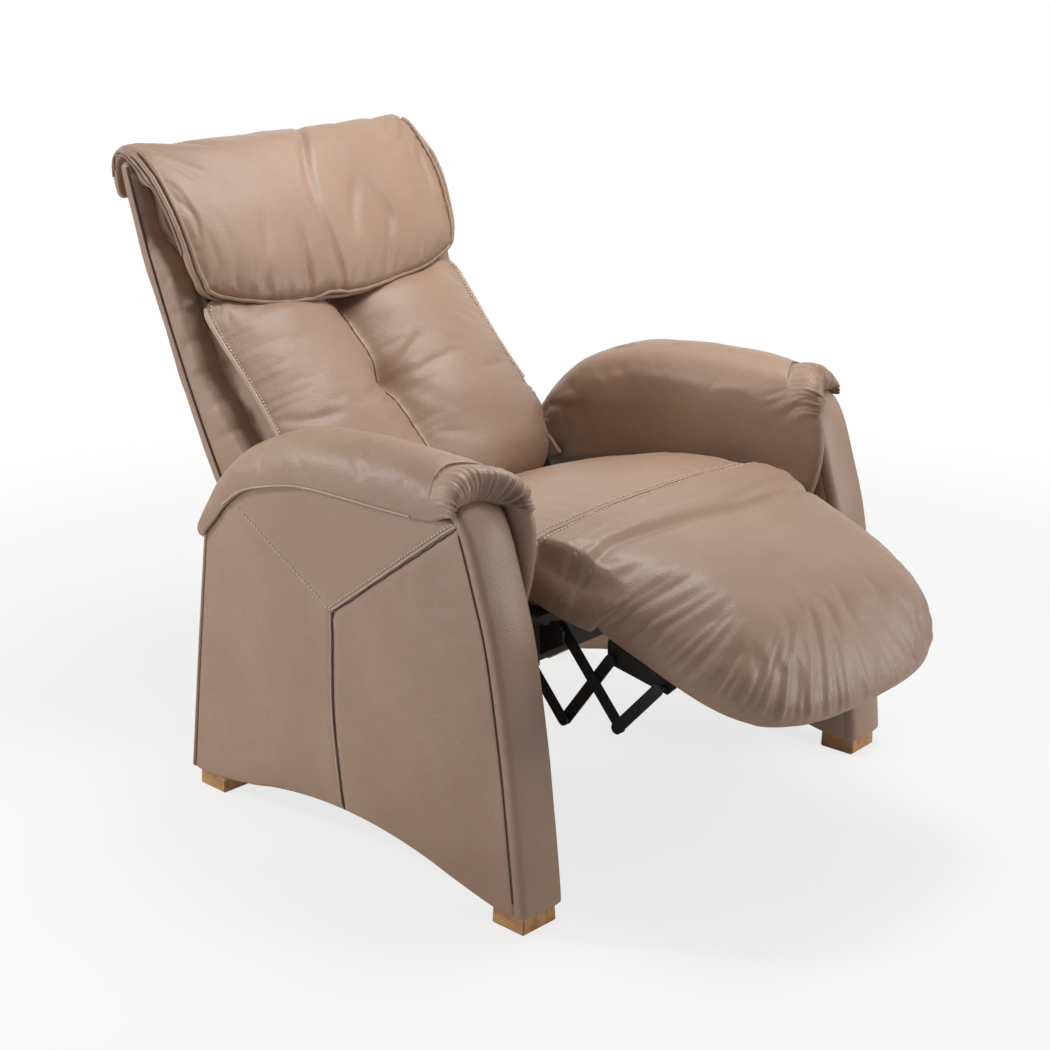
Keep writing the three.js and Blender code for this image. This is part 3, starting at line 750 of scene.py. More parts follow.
def facing(side, name):
    """The padded strip down the arm's front, narrowing into the rounded thumb at its top."""
    long = facing_line.length
    local, quads = block((24, 120, 6), (37.5, long / 2, 9), (8, 5, 8))
    share = local[:, 1] / long + 0.5
    spot = facing_line(share)
    normal = square_to(facing_line, share, 0.002)
    near_top = np.clip((share * long - (long - 58)) / 58, 0, 1)
    narrow = 1 - 0.4 * near_top**2.4
    across = np.clip(1 - (local[:, 0] / 37.5) ** 2, 0, 1)
    crown = (5.5 * across + 0.8 * ripple(np.column_stack([local[:, 0], share * long]), 90, 12)
             * across) * ease(0, 8, local[:, 2])
    deep = local[:, 2] - 8 + crown
    back_up = spot + normal * deep[:, None]
    up = np.maximum(back_up[:, 1], foot_top)
    return piece(name, in_arm(side, local[:, 0] * narrow, back_up[:, 0], up), quads)


def rear_strip(side, name):
    local, quads = block((20, 100, 3), (37.5, 192, 3.2), (6, 6, 3))
    share = local[:, 1] / 384 + 0.5
    spot = edge_rear(share)
    bulge = 3.5 * (1 - (local[:, 0] / 37.5) ** 2) * ease(0, 3, local[:, 2])
    back = spot[:, 0] + 3.6 + local[:, 2] + bulge
    return piece(name, in_arm(side, local[:, 0], back, spot[:, 1]), quads)


for name, side in sides:
    outer = arm_panel(side, f"outer_cover_{name}", 1)
    cover(outer, 0.5, "base", f"arm_outer_panel_{name}")
    inner = arm_panel(side, f"inner_cover_{name}", -1)
    cover(inner, 0.5, "base", f"arm_inner_panel_{name}")
    front = facing(side, f"front_facing_cover_{name}")
    cover(front, 0.6, "base", f"arm_front_facing_{name}")
    cover(rear_strip(side, f"rear_strip_{name}"), 0.4, "base")
    print(name, "arm covers", len(outer.data.polygons), "quads on the outer one")


# %% [markdown]
# ## The arm pads
# The pad is a long soft roll laid over the arm: a hem on the outside, a full crown, and a flap
# that hangs down the inside as far as the seat. One slab follows the arm's top curve; its outer
# and inner faces are two paths across the arm, so it is thick on top and thin at both hems.
# The front end is gathered round the thumb, and the gathers fade along the pad.

# %% Arm pads
pad_run = smooth_line([(70, 533), *[(y, z + 1) for y, z in hem_line], (571, 392)])
pad_height = table((0, 44), (0.06, 52), (0.14, 61), (0.3, 65), (0.5, 63), (0.66, 56), (0.8, 47), (0.92, 36),
                   (1, 26))
flap_bottom = table((40, 384), (250, 375), (400, 352), (570, 340), (640, 340))


def pad_paths(share):
    """Outer and inner path across the pad at one place along it: (out, above, hanging)."""
    h = pad_height(share)
    top = [(45.5, -7, 0), (47, 8, 0), (44, 0.4 * h, 0), (32, 0.72 * h, 0), (12, 0.95 * h, 0),
           (-12, h, 0), (-36, 0.95 * h, 0), (-54, 0.76 * h, 0), (-63, 0.42 * h, 0),
           (-65, 0, 0.12), (-64, 0, 0.5), (-62.5, 0, 1)]
    near = 5 * (1 - ease(0, 0.16, share))
    low = [(41.8, -8, 0), (40.5, -1, 0), (37, 2, 0), (28, 2, 0), (12, 1.8, 0), (-10, 1.6, 0),
           (-30, 1.4, 0), (-38.2, 1, 0), (near - 44, -1, 0.03), (near - 45, 0, 0.15), (near - 46, 0, 0.5),
           (near - 47, 0, 1)]
    return np.array(top), np.array(low)


def arm_pad(side, name):
    stations = np.linspace(0, 1, 60)
    tops, lows = zip(*(pad_paths(s) for s in stations))
    local, quads = block((5, 92, 170), (12, 150, 300), (12, 9, 24))
    thick, cross, run = local[:, 0] / 24 + 0.5, local[:, 1] / 300 + 0.5, local[:, 2] / 600 + 0.5
    grid_cross = np.linspace(0, 1, 140)
    top_grid = np.array([smooth_line(t)(grid_cross) for t in tops])
    low_grid = np.array([smooth_line(t)(grid_cross) for t in lows])

    def sample(grid):
        a, b = run * 59, cross * 139
        i, j = np.clip(a.astype(int), 0, 58), np.clip(b.astype(int), 0, 138)
        fa, fb = (a - i)[:, None], (b - j)[:, None]
        return ((1 - fa) * (1 - fb) * grid[i, j] + fa * (1 - fb) * grid[i + 1, j]
                + (1 - fa) * fb * grid[i, j + 1] + fa * fb * grid[i + 1, j + 1])

    section = sample(low_grid) * (1 - thick[:, None]) + sample(top_grid) * thick[:, None]
    spot = pad_run(run)
    back_up = spot + square_to(pad_run, run, 0.004) * section[:, 1:2]
    fall = np.maximum(spot[:, 1] - flap_bottom(spot[:, 0]), 8)
    back_up[:, 1] -= section[:, 2] * fall
    inner = ease(8, -58, section[:, 0])
    back_up[:, 0] -= (34 + 6 * np.sin(np.clip(section[:, 2], 0, 1) * math.pi)) * inner * (1 - ease(0, 0.2, run))
    back_up[:, 1] -= 8 * inner * (1 - ease(0, 0.12, run))
    points = in_arm(side, section[:, 0], back_up[:, 0], back_up[:, 1])
    skin = ease(0.5, 0.95, thick)
    length = run * pad_run.length
    around = cross * 300
    flat = np.column_stack([around, length])
    amount = 1.1 * ripple(flat, 130, 21) + 0.15 * ripple(flat, 40, 22)
    pleats = puckers(around, np.maximum(length - 4, 0), 9.5, 2.4, 12, 5) * (1 + 0.9 * ease(195, 225, around))
    pleats = np.where(pleats < 0, 1.7 * pleats, 0.6 * pleats)
    amount += puckers(around, np.maximum(length - 6, 0), 25, 1.4, 28, 6)
    amount += puckers(length, around, 17, 0.5, 9, 7)
    amount += puckers(length, around, 10, 0.7, 26, 9) * ease(0.72, 0.82, run) * ease(0.98, 0.9, run)
    gap, _ = gap_to(np.column_stack([section[:, 0] + 200 * section[:, 2], back_up[:, 0]]),
                    [(136, 500), (400, 470)])
    amount -= 1.5 * np.exp(-((gap / 4) ** 2)) * (section[:, 0] < -40)
    amount = creased(amount, back_up, [
        ([(519, 478), (500, 420), (474, 353)], 1.6, 4),
        ([(512, 460), (540, 452), (566, 430)], 2.4, 9),
        ([(508, 452), (470, 462), (430, 452)], 2.6, 11),
        ([(506, 446), (466, 434), (430, 402)], 2.2, 10)], ease(-40, -56, section[:, 0]))
    free = skin * ease(0.02, 0.1, cross) * ease(6, 26, length) * ease(0, 14, pad_run.length - length)
    face = np.maximum(skin, (1 - ease(4, 20, length)) * ease(0.02, 0.25, thick))
    face = np.maximum(face, 0.5 * ease(195, 225, around) * (1 - ease(20, 60, length)))
    points = push(points, quads, amount * skin + pleats * face)
    made = piece(name, points, quads)
    fill_cover(made, free, slack=0.0015, cap=3.0)
    return made


for name, side in sides:
    pad = cover(arm_pad(side, f"pad_cover_{name}"), 0.8, "base", f"arm_pad_{name}")
    print(name, "pad", len(pad.data.polygons), "quads")


# %% [markdown]
# ## The feet
# Each foot is a block of solid oak. Its sawn edges would be sharp, so they are eased with a
# small round-over, as a joiner would sand them.

# %% Feet
for name, _ in sides:
    for end in ("front", "rear"):
        source = bpy.data.objects[f"foot_{end}_{name}"]
        form = bmesh.new()
        form.from_mesh(source.data)
        bmesh.ops.remove_doubles(form, verts=form.verts, dist=1e-5)
        bmesh.ops.dissolve_limit(form, angle_limit=0.02, verts=form.verts, edges=form.edges)
        bmesh.ops.bevel(form, geom=form.edges[:], offset=0.0016, segments=3, affect="EDGES")
        bmesh.ops.recalc_face_normals(form, faces=form.faces)
        mesh = bpy.data.meshes.new(f"oak_foot_{end}_{name}")
        form.to_mesh(mesh)
        form.free()
        mesh.materials.append(oak)
        foot = bpy.data.objects.new(mesh.name, mesh)
        bpy.context.scene.collection.objects.link(foot)
        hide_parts(source.name)
        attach(foot, "base")
print("four feet,", len(mesh.polygons), "faces each")


# %% [markdown]
# ## The seat and the footrest
# The seat is a foam block with a soft crown. The footrest's leather starts at a double seam on
# the seat, runs over the rounded nose and on to the rounded tip, so that no gap opens when the
# footrest swings. It is one closed padded slab, curved from the seat down to the footrest.
# Slack leather gathers in one deep crease over the knee hinge.

# %% Seat cover
seat_top = table((-20, 452), (60, 458), (97, 459), (160, 457), (221, 448), (298, 431), (366, 413), (436, 390),
                 (506, 370))
seat_half = table((0, 230), (84, 236), (108, 251), (200, 266), (330, 279), (506, 284))


def seat_cover():
    local, quads = block((100, 92, 14), (280, 246, 50), (52, 40, 30))
    share = local / [560, 492, 100] + 0.5
    back = 12 + share[:, 1] * 492
    half = seat_half(back)
    crown = 13 * np.clip(1 - (local[:, 0] / 270) ** 2, 0, 1) - 8
    step = -12 * (1 - ease(88, 100, back))
    top = seat_top(back) + crown + step
    low = 356 - 4 * ease(300, 420, back)
    up = low + share[:, 2] * (top - low)
    points = np.stack([local[:, 0] / 280 * half, back, up], -1)
    plan = points[:, :2]
    skin = ease(0.4, 0.9, share[:, 2])
    amount = 1.1 * ripple(plan, 170, 31) + 0.2 * ripple(plan, 50, 32)
    gap, along = gap_to(plan, [(-240, 92), (0, 96), (240, 92)])
    amount += puckers(along * 480, gap, 34, 0.8, 30, 33)
    amount = creased(amount, plan, [
        ([(-200, 300), (-120, 330), (0, 345), (120, 332)], 2.0, 16),
        ([(-235, 190), (-150, 160), (-60, 150)], 1.8, 15),
        ([(60, 230), (150, 220), (235, 240)], 1.5, 14)])
    free = skin * ease(100, 135, back) * ease(500, 470, back) * ease(1, 0.9, np.abs(local[:, 0] / 280))
    return push(points, quads, amount * skin), quads, free


points, quads, free = seat_cover()
seat = piece("seat_cover", points, quads)
fill_cover(seat, free, slack=0.006, cap=6.0)
cover(seat, 0.6, "base", "seat_cushion")

# %% Footrest cover
over_points = [(99, 460), (84, 463), (66, 463), (44, 460.5), (22, 455), (2, 448), (-18, 444.5), (-45, 439),
               (-70, 433), (-92, 427), (-122, 416.5), (-155, 402), (-190, 383), (-220, 364), (-246, 343),
               (-266, 322), (-277, 304)]
under_points = [(99, 449), (84, 451), (66, 453), (44, 450), (24, 442), (10, 430), (2, 415), (-5, 396),
                (-9, 376), (-14, 359), (-42, 344), (-86, 327), (-132, 309), (-176, 292), (-212, 279),
                (-244, 268), (-266, 261)]
over_line, under_line = np.array(over_points, float), np.array(under_points, float)


over_run = lengths_along(over_line)
footrest_half = table((0, 251), (0.2, 253), (0.34, 251), (0.5, 243), (0.65, 237), (1, 236))
edge_reach = table((0, 60), (0.08, 90), (0.2, 104), (0.45, 112), (1, 112))
cheek_points = [(112, 380), (95, 374), (78, 369), (60, 365), (44, 362), (30, 360), (16, 358), (2, 356),
                (-10, 354), (-22, 351), *under_points[10:]]


tip_from, tip_long = 0.56, 0.44


def footrest_cover():
    long = over_run[-1]
    local, quads = block((116, 124, 10), (250, long / 2, 26), (9, 9, 20))
    across, share, thick = local[:, 0] / 250, 0.5 - local[:, 1] / long, local[:, 2] / 52 + 0.5
    bend = np.clip((share - tip_from) / tip_long, 0, 1)
    cut_across = across * np.cbrt(1 - bend**3 / 2)
    cut_share = np.where(bend > 0, tip_from + tip_long * bend * np.cbrt(1 - np.abs(across) ** 3 / 2), share)
    place = np.interp(cut_share * long, over_run, np.arange(len(over_run)))
    over, under = by_index(over_line, place), by_index(under_line, place)
    x = cut_across * footrest_half(cut_share)
    over[:, 1] += (13 * (1 - (x / 270) ** 2) - 8) * (1 - ease(0.05, 0.3, share))
    lip = ease(0.9, 0.95, np.abs(across)) * (1 - ease(0.36, 0.46, share))
    under = under + (by_index(np.array(cheek_points, float), place) - under) * lip[:, None]
    cut_bend = np.maximum(cut_share - tip_from, 0) / tip_long
    border = (1 - np.cbrt(np.abs(cut_across) ** 3 + cut_bend**3)) * 240
    rim = np.clip(1 - border / edge_reach(share), 0, 1)
    round_off = (1 - np.sqrt(1 - rim**2)) * (0.66 - 0.06 * lip + 0.24 * (1 - ease(0.2, 0.45, share)))
    top = over + (under - over) * round_off[:, None]
    back_up = under * (1 - thick[:, None]) + top * thick[:, None]
    points = np.column_stack([x, back_up])
    skin = ease(0.45, 0.95, thick)
    run = cut_share * long
    flat = np.column_stack([x, run])
    amount = 1.3 * ripple(flat, 170, 41) + 0.3 * ripple(flat, 52, 42)
    amount = creased(amount, flat, [
        ([(-256, 66), (-190, 56), (-72, 56), (90, 66)], 4.6, 11),
        ([(-258, 92), (-228, 79), (-184, 76), (-98, 82)], -2.6, 8),
        ([(-258, 116), (-242, 98), (-179, 88), (-38, 98), (156, 120), (256, 108)], 6.5, 11),
        ([(20, 44), (130, 52), (240, 44)], 2.6, 13),
        ([(60, 92), (150, 84), (240, 80)], 3.0, 13),
        ([(-250, 140), (-200, 146), (-110, 160)], 1.8, 13),
        ([(-236, 190), (-190, 196), (-150, 204)], 1.2, 12),
        ([(-232, 250), (-196, 262), (-150, 286)], 1.4, 11),
        ([(-222, 300), (-190, 322), (-156, 352)], 1.8, 10),
        ([(-206, 330), (-170, 352), (-130, 384)], 1.6, 10)])
    around = np.where(cut_bend > 0, tip_from * long + 215 * np.arctan2(cut_bend, np.abs(cut_across)), run)
    edge = np.maximum(border - 6, 0)
    past_knee = ease(0.34, 0.5, cut_share)
    near = ease(20, -60, x)
    amount += puckers(around, edge, 24, 2.4, 34, 44) * past_knee * near
    amount += puckers(around, edge, 13, 1.3, 16, 46) * past_knee * near
    amount += puckers(around, edge, 27, 1.2, 24, 45) * past_knee * (1 - near)
    free = skin * ease(0.04, 0.12, share)
    return push(points, quads, amount * skin), quads, free


points, quads, free = footrest_cover()
footrest = piece("footrest_cover", points, quads)
fill_cover(footrest, free, slack=0.008, cap=7.0)
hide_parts("legrest_pad")
metres([0, 97, 459]).tolist()
metres([0, -13, 440]).tolist()
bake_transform(footrest)
print("seat", len(seat.data.polygons), "footrest", len(footrest.data.polygons), "quads")


# %% [markdown]
# ## The back
# A leather shell wraps the back from under the seat to the top of the headrest. A piped seam
# runs down each side of it, and a soft wing of leather turns in from the seam to the cushion.
# The shell is one slab that follows the rear curve of the frame.

# %% Back shell cover
rear_curve = smooth_line(np.vstack([bezier((620, 310), (752, 545), (827, 752))[::4],
                                    bezier((829, 762), (844, 800), (861, 862))[6::8], [[861, 862]]]))
shell_long = rear_curve.length


def along_back(share, ahead):
    """A place in the side view: share of the way up the rear curve, and ahead of it."""
    return rear_curve(share) + square_to(rear_curve, share, 0.003) * np.asarray(ahead)[..., None]



def shell_cover():
    local, quads = block((84, 140, 5), (282, shell_long / 2, 11), (9, 10, 9))
    share = local[:, 1] / shell_long + 0.5
    ahead = 11 + local[:, 2]
    crown = 5 * (1 - (local[:, 0] / 282) ** 2) * ease(0, 8, -local[:, 2])
    flat = np.column_stack([local[:, 0], share * shell_long])
    crown += (1.2 * ripple(flat, 190, 51) + 0.4 * ripple(flat, 60, 52)) * ease(0, 8, -local[:, 2])
    crown = creased(crown, flat, [
        ([(-270, 500), (-90, 488), (120, 494), (270, 502)], 2.5, 14),
        ([(-270, 120), (-200, 150), (-120, 160)], 1.8, 16),
        ([(270, 110), (210, 150), (120, 170)], 1.8, 16)], ease(0, 8, -local[:, 2]))
    back_up = along_back(share, ahead - crown)
    return np.column_stack([local[:, 0], back_up]), quads


points, quads = shell_cover()
shell = piece("back_shell_cover", points, quads)
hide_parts("back_shell", "head_shell")
head_turn = (metres([0, 800, 715]).tolist(), metres([0, 835, 800]).tolist())
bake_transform(shell)


cushion_origin = np.array([512.0, 440.0])
cushion_up = np.array([0.687, 0.726])
cushion_out = np.array([-0.726, 0.687])
hinge_arm_place = np.array([551.6, 396.4])
hinge_arm_square = np.array([0.743, -0.669])
least_reach, most_reach, least_clear, most_clear = 50, 150, 46, 118


def wing(side, name):
    """The leather that turns in from the piped seam and hollows back behind the cushion's edge."""
    local, quads = block((34, 170, 3), (40, 310, 3.5), (4, 8, 3))
    turn, share = local[:, 0] / 80 + 0.5, local[:, 1] / 620 + 0.5
    run = 0.015 + share * 0.955
    spot = rear_curve(run)
    forward = square_to(rear_curve, run, 0.003)
    reach = (-7 - (spot - cushion_origin) @ cushion_out) / (forward @ cushion_out)
    high = ease(0.7, 0.84, run)
    hinge = spot - hinge_arm_place
    clear = hinge @ hinge_arm_square / -(forward @ hinge_arm_square) + 4
    clear = np.clip(clear, least_clear, most_clear)
    reach = np.clip(reach - 30 * (1 - ease(0.15, 0.4, run)), least_reach, most_reach)
    profile = smooth_line([(281, 20), (277, 33), (271, 46), (260, 54), (247, 55), (236, 62), (228, 132)])
    section = profile(turn)
    low = 1 - ease(0.06, 0.14, run)
    x = section[:, 0] + low * (280.5 - section[:, 0]) + high * 0.35 * (281 - section[:, 0])
    ahead = np.where(section[:, 1] > 46, clear + (section[:, 1] - 46) * (reach - clear) / 86,
                     20 + (section[:, 1] - 20) * (clear - 20) / 26)
    ahead = ahead * (1 - high) + (20 + (section[:, 1] - 20) / 112 * (26 - 12 * run)) * high
    across = profile(turn + 0.02) - profile(turn - 0.02)
    across[:, 0] *= 1 - low
    across /= np.linalg.norm(across, axis=1, keepdims=True)
    flat = np.column_stack([turn * 100, share * 620])
    folds = 1.5 * ripple(flat, 80, 61 + side)
    for k in range(8):
        start = 190 + 52 * k
        folds += crease(flat, [(4, start - 10), (34, start), (70, start + 20 - 9 * (k % 3))], 2.4, 9)
    depth = local[:, 2] + folds * ease(-3, 3, local[:, 2]) * ease(0, 0.12, turn)
    x = x + across[:, 1] * depth
    back_up = along_back(run, ahead - across[:, 0] * depth)
    made = piece(name, np.column_stack([side * x, back_up]), quads)
    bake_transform(made)
    return made


for name, side in sides:
    wing_piece = wing(side, f"wing_cover_{name}")
    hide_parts(f"back_side_panel_{name}")
print("shell", len(shell.data.polygons), "quads")


# %% [markdown]
# ## The back cushion
# Two full lobes are divided by a seam down the middle, which a hidden tuck pulls deep at one
# point, so folds run out from it like a star. A flat flange with large stitches edges it.

# %% Back cushion
tuck = (0, 137)
lobe_shape = table((0, -11), (0.03, -8), (0.1, 5), (0.25, 21), (0.45, 30.5), (0.62, 31), (0.8, 25), (0.92, 15),
                   (1, 6))
fuller_lobe = table((0, -9), (0.1, 6), (0.3, 24), (0.6, 31), (0.85, 30), (1, 26))
cushion_low, low_corner, cushion_half = -82, 100, 256
seam_depth = table((-90, -7), (-20, -9), (32, -9), (91, -11), (122, -18), (137, -25), (152, -18), (182, -10),
                   (253, -17), (330, -27))


def cushion_front(x, along):
    """How far the cushion's leather stands out from the line of its back, at a place on its face."""
    side = np.clip(np.abs(x) / 250, 0, 1)
    ends = np.sqrt(1 - np.clip((along - 153) / 166, 0, 1) ** 5)
    low = 1 - ease(-10, 70, along)
    front = 6 + (lobe_shape(side) * (1 - low) + fuller_lobe(side) * low - 6) * np.maximum(ends, 0.1)
    front += (seam_depth(along) + 11) * np.exp(-((side / 0.09) ** 2))
    front += 4 * np.exp(-(((along - 85) / 60) ** 2)) * np.sin(math.pi * side)
    away = np.hypot(x - tuck[0], along - tuck[1])
    front -= 7 * np.exp(-((away / 26) ** 2))
    front -= 11 * ease(262, 300, along) * (1 - ease(0.6, 0.92, side))
    p = np.maximum(np.abs(x) - (cushion_half - low_corner), 0) / low_corner
    q = np.maximum(cushion_low + low_corner - along, 0) / low_corner
    rim = np.clip(1 - (1 - np.hypot(p, q)) * low_corner / 74, 0, 1) * low
    front -= (1 - np.sqrt(1 - rim**2)) * (front + 26)
    return front, ends


def back_cushion():
    local, quads = block((116, 100, 12), (cushion_half, 200, 40), (9, 9, 16))
    x, along = local[:, 0], local[:, 1] + 118
    thick = local[:, 2] / 80 + 0.5
    x, along = round_corner(x, along, cushion_half, cushion_low, low_corner)
    x, turned = round_corner(x, -along, cushion_half, -318, 34)
    along = -turned
    x = x * (1 - 0.025 * np.exp(-(((along - 150) / 90) ** 2)))
    flat = np.column_stack([x, along])
    front, ends = cushion_front(x, along)
    front += 1.2 * ripple(flat, 130, 71) + 0.2 * ripple(flat, 40, 72)
    gap_side = 252 - np.abs(x)
    front += puckers(along, np.maximum(gap_side - 6, 0), 21, 1.5, 22, 73)
    front += puckers(along, np.maximum(np.abs(x) - 4, 0), 26, 0.9, 22, 74)
    front = creased(front, flat, [
        ([(8, 140), (50, 164), (84, 186)], 3.4, 9),
        ([(6, 134), (50, 128), (96, 136)], 2.0, 10),
        ([(-8, 134), (-60, 110), (-104, 92)], 3.2, 12),
        ([(-6, 128), (-30, 88), (-46, 50)], 2.4, 12),
        ([(8, 128), (36, 90), (54, 60)], 2.4, 12),
        ([(-236, 98), (-196, 86), (-150, 84)], 3.0, 9),
        ([(-238, 70), (-190, 54), (-160, 34)], 3.0, 9),
        ([(244, 120), (190, 100), (140, 96)], 2.2, 12),
        ([(-230, 230), (-180, 214), (-130, 216)], 1.4, 13)])
    border = np.maximum(ease(60, 4, gap_side) * ease(-10, 70, along), 1 - ease(0.2, 0.75, ends))
    rear = -46 + 44 * border + 20 * ease(-10, -80, along)
    out = rear + thick * (front - rear)
    back_up = cushion_origin + cushion_up * along[:, None] + cushion_out * out[:, None]
    free = ease(0.5, 0.9, thick) * ease(4, 22, gap_side) * ease(5, 24, np.abs(x)) * ease(0.1, 0.5, ends)
    free *= ease(cushion_low, cushion_low + 50, along)
    return np.column_stack([x, back_up]), quads, free


points, quads, free = back_cushion()
cushion = piece("back_cushion_cover", points, quads)
fill_cover(cushion, free, slack=0.005, cap=6.0)
cover(cushion, 0.7, "backrest", "back_cushion")
print("back cushion", len(cushion.data.polygons), "quads")


# %% [markdown]
# ## The head pillow
# A flat pillow hangs over the top of the back like a saddle bag. Its front falls in soft
# folds from the top, its lower edge is a double rolled bead, and it is drawn in at the middle.

# %% Head pillow
pillow_front = np.array([(731, 683), (721, 694), (718, 708), (728, 745), (750, 798), (782, 843), (814, 874),
                         (842, 886), (862, 886), (877, 876), (885, 856), (884, 832), (878, 808)], float)
pillow_rear = np.array([(752, 682), (758, 690), (764, 704), (776, 738), (794, 780), (812, 812), (828, 836),
                        (842, 858), (853, 868), (862, 869), (871, 858), (871, 834), (866, 810)], float)
pillow_run = lengths_along(pillow_front)


pillow_half = 275
pillow_corner = 58
dip_at = -40


def pillow_spot(x, run, thick):
    """A place on the pillow: x across it, run up from its lower edge, thick from rear to front."""
    x, run = round_corner(x, run, pillow_half, 0, pillow_corner)
    share = run / pillow_run[-1]
    lower = 1 - ease(0, 0.45, share)
    side = np.abs(x) / pillow_half
    off_middle = (x - dip_at) / np.where(x < dip_at, pillow_half + dip_at, pillow_half - dip_at)
    sag = 54 * lower * (1 - np.clip(np.abs(off_middle), 0, 1) ** 2.2)
    place = np.interp(run, pillow_run, np.arange(len(pillow_run)))
    front, rear = by_index(pillow_front, place), by_index(pillow_rear, place)
    thin = 0.62 * ease(0.86, 1, side) * (1 - ease(0.45, 0.62, share))
    rear = rear + (front - rear) * thin[:, None]
    back_up = rear + (front - rear) * thick[:, None] + sag[:, None] * np.array([-0.80, -0.62])
    x = x * (1 - 0.035 * lower * side)
    return np.column_stack([x, back_up]), x, run


def head_pillow():
    long = pillow_run[-1]
    local, quads = block((120, 74, 9), (pillow_half, long / 2, 20), (13, 12, 13))
    thick = local[:, 2] / 40 + 0.5
    points, x, run = pillow_spot(local[:, 0], local[:, 1] + long / 2, thick)
    share = run / long
    flat = np.column_stack([x, run])
    skin = ease(0.45, 0.95, thick)
    amount = 1.2 * ripple(flat, 150, 81) + 0.2 * ripple(flat, 44, 82)
    edge = pillow_half - np.abs(x)
    amount -= 8 * np.exp(-edge / 20) * ease(0, 0.1, share) * (1 - ease(0.7, 0.8, share))
    amount -= 5 * np.exp(-run / 12)
    amount = creased(amount, flat, [
        ([(57, 275), (26, 226), (3, 183), (-13, 143), (-20, 116)], 8.5, 9),
        ([(-18, 114), (-20, 65), (-18, 14)], 7.5, 8),
        ([(-66, 96), (-80, 58), (-88, 12)], 7.0, 8),
        ([(-126, 112), (-150, 60), (-165, 24)], 3.5, 9),
        ([(108, 132), (115, 90), (99, 62), (76, 28)], 6.0, 10),
        ([(75, 136), (45, 105), (26, 74)], 4.0, 10),
        ([(-166, 30), (-160, 52)], 2.4, 7),
        ([(-126, 10), (-120, 36)], 1.8, 7),
        ([(-200, 30), (-196, 80), (-214, 150)], 1.8, 14),
        ([(214, 40), (224, 110), (204, 180)], 1.8, 13)])
    amount += puckers(x, run, 29, 1.4, 22, 83)
    amount += puckers(run, edge, 17, 1.8, 17, 84)
    amount -= 8 * np.exp(-(((x - dip_at) / 26) ** 2) - ((run - 6) / 20) ** 2)
    free = skin * ease(2, 24, edge) * ease(4, 30, run) * ease(1, 0.9, share)
    return push(points, quads, amount * skin), quads, free


points, quads, free = head_pillow()
pillow = piece("head_pillow_cover", points, quads)
fill_cover(pillow, free)
cover(pillow, 0.6, "headrest", "head_pillow")
print("pillow", len(pillow.data.polygons), "quads")


# %% [markdown]
# ## Seams
# The stitch rows and the piped edges lie on the finished covers. Each line is drawn beside its
# seam and dropped onto the leather, so it follows every fold.

# %% Seams on the arms
def on_arm(side, line, out=42):
    points = np.asarray(line, float)
    return in_arm(side, np.full(len(points), float(out)), points[:, 0], points[:, 1])


def beside_line(line, distance):
    """The line moved sideways in the side view, its ends with it."""
    path = smooth_line(line)
    share = np.linspace(0, 1, 24)
    return path(share) + square_to(path, share, 0.01) * distance


for name, side in sides:
    hull = bpy.data.objects[f"outer_cover_{name}"]
    dark = [lay_on(hull, on_arm(side, line), 0.3) for line in (vee_front, down_seam)]
    dark.append(lay_on(hull, on_arm(side, edge_front(np.linspace(0.04, 0.97, 30))), 0.4))
    seam = cord_piece(f"panel_seams_{name}", dark, 0.9, seam_dark)
    # Pale cords beside the seams: raised fold ridges coloured with a painted highlight.
    fold = [lay_on(hull, on_arm(side, beside_line(vee_front, -3.0)), 0.4),
            lay_on(hull, on_arm(side, beside_line(down_seam, 2.6)), 0.2)]
    edge = cord_piece(f"panel_folds_{name}", fold, 1.7, painted_highlight_leather)
    row = [lay_on(hull, on_arm(side, beside_line(vee_front, -8.5)), 0.3),
           lay_on(hull, on_arm(side, vee_rear), 0.6)]
    stitches(f"panel_stitches_{name}", "base", row)
    for made in (seam, edge):
        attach(made, "base")
    pad = bpy.data.objects[f"pad_cover_{name}"]
    # The pad's rolled hem is a cord coloured with a painted highlight.
    hem = [in_arm(side, 47.0, y, z - 4.5) for y, z in hem_line[2:-2]]
    rolled = cord_piece(f"pad_hem_{name}", [lay_on(pad, hem, 0.6)], 1.5, painted_highlight_leather)
    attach(rolled, "base")


# %% Seams on the seat and the back
seat_line = [(-232, 101, 452), (-150, 101, 462), (0, 102, 466), (150, 101, 462), (232, 101, 452)]
seam = cord_piece("seat_seam", [lay_on(seat, seat_line, -0.2)], 0.7, seam_dark)
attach(seam, "base")
rows = [lay_on(seat, [(x, y + 10, z + 6) for x, y, z in seat_line], 0.6),
        lay_on(footrest, [(x, y - 12, z + 8) for x, y, z in seat_line], 0.6)]
stitches("seat_stitches", "base", rows)


def on_cushion(line, lift=0.0):
    points = np.asarray(line, float)
    front, _ = cushion_front(points[:, 0], points[:, 1])
    back_up = (cushion_origin + cushion_up * points[:, 1:2] + cushion_out * (front + lift)[:, None])
    return np.column_stack([points[:, 0], back_up])


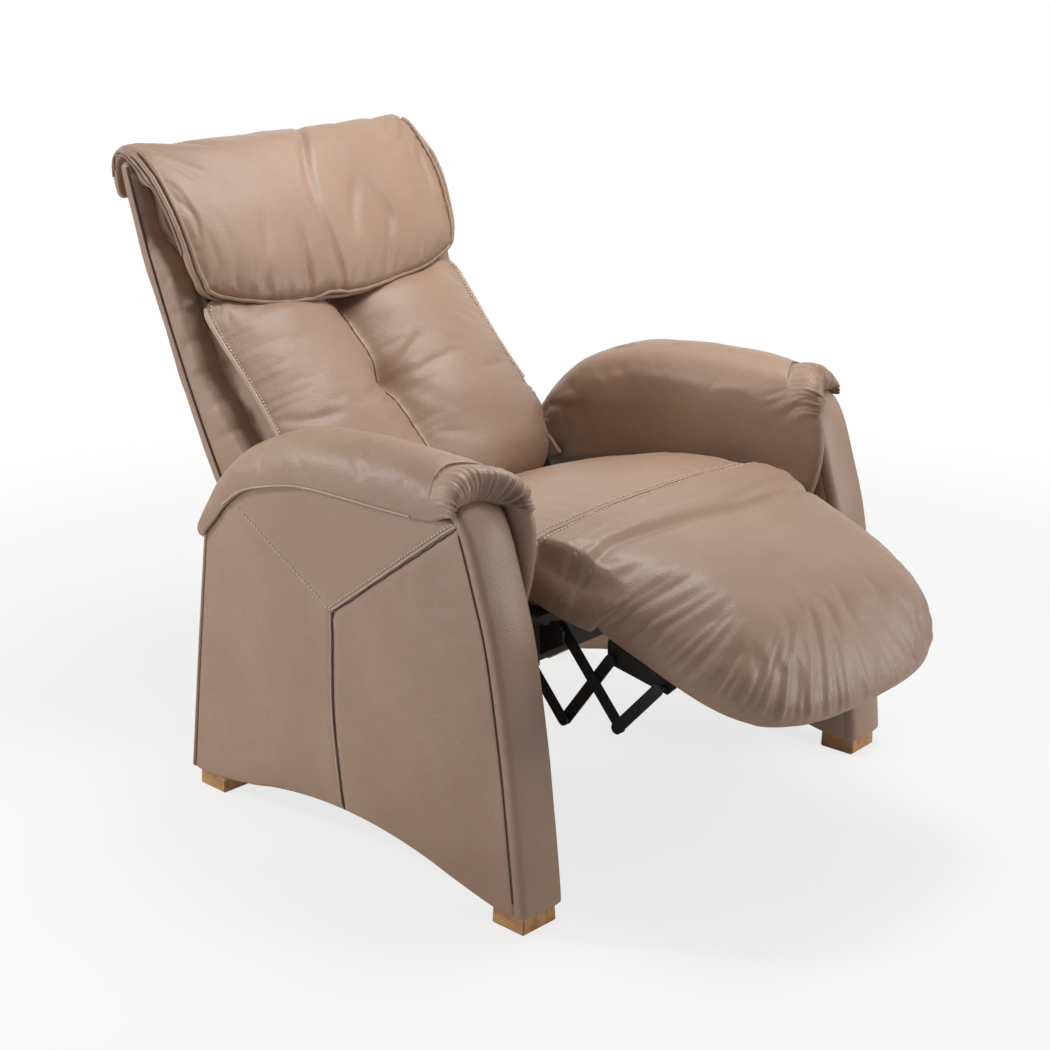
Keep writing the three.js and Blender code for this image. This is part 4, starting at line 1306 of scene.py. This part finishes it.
middle = on_cushion([(0, along) for along in range(-60, 316, 12)])
seam = cord_piece("cushion_middle_seam", [lay_on(cushion, middle, 0.2)], 1.2, seam_dark)
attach(seam, "backrest")
edge_lines, stitch_lines = [], []
for sign in (-1, 1):
    border = [(sign * 246, 78), (sign * 246, 110), (sign * 244, 150), (sign * 246, 220), (sign * 247, 280),
              (sign * 240, 304)]
    edge_lines.append(lay_on(cushion, on_cushion([(x + sign * 9, along) for x, along in border], -2), 0.8))
    stitch_lines.append(lay_on(cushion, on_cushion([(x + sign * 3, along) for x, along in border]), 0.8))
# The flange cord is pale: a painted highlight along the cushion's edge.
flange = cord_piece("cushion_flange", edge_lines, 3.2, painted_highlight_leather)
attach(flange, "backrest")
stitches("cushion_stitches", "backrest", stitch_lines, 5.6, 4.2, 2.2)
pipe = []
for sign in (-1, 1):
    run = np.linspace(0.03, 0.985, 60)
    back_up = along_back(run, np.full(60, 22.5))
    pipe.append(np.column_stack([np.full(60, sign * 283.4), back_up]))
shell_pipe = cord_piece("shell_piping", pipe, 2.0, seam_dark)
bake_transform(shell_pipe)

# %% The pillow's beads
bead_lines = []
for inset, thick in ((9, 1.0), (1, 0.8)):
    rise, edge = np.linspace(246, 4, 24), float(pillow_half - inset)
    across = np.concatenate([np.full(24, -edge), np.linspace(-edge, edge, 90), np.full(24, edge)])
    up = np.concatenate([rise, np.full(90, float(inset)), rise[::-1]])
    spots, _, _ = pillow_spot(across, up, np.full(138, thick))
    spots[:, 2] += 4 * np.exp(-(((across - dip_at) / 22) ** 2)) * (up < 12)
    bead_lines.append(lay_on(pillow, spots, 1.6))
beads = cord_piece("pillow_beads", bead_lines, 3.4, hide)
cover(beads, 0.8, "headrest")
side_beads = []
front_edge = [(736, 745), (758, 792), (788, 836), (816, 864), (844, 877), (864, 877), (875, 866), (878, 850)]
for sign in (-1, 1):
    for step in (0, 10):
        line = [(sign * 290, y + step, z - 0.8 * step) for y, z in front_edge]
        side_beads.append(lay_on(pillow, line, 0.8))
edges = cord_piece("pillow_side_beads", side_beads, 1.6, piping)
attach(edges, "headrest")
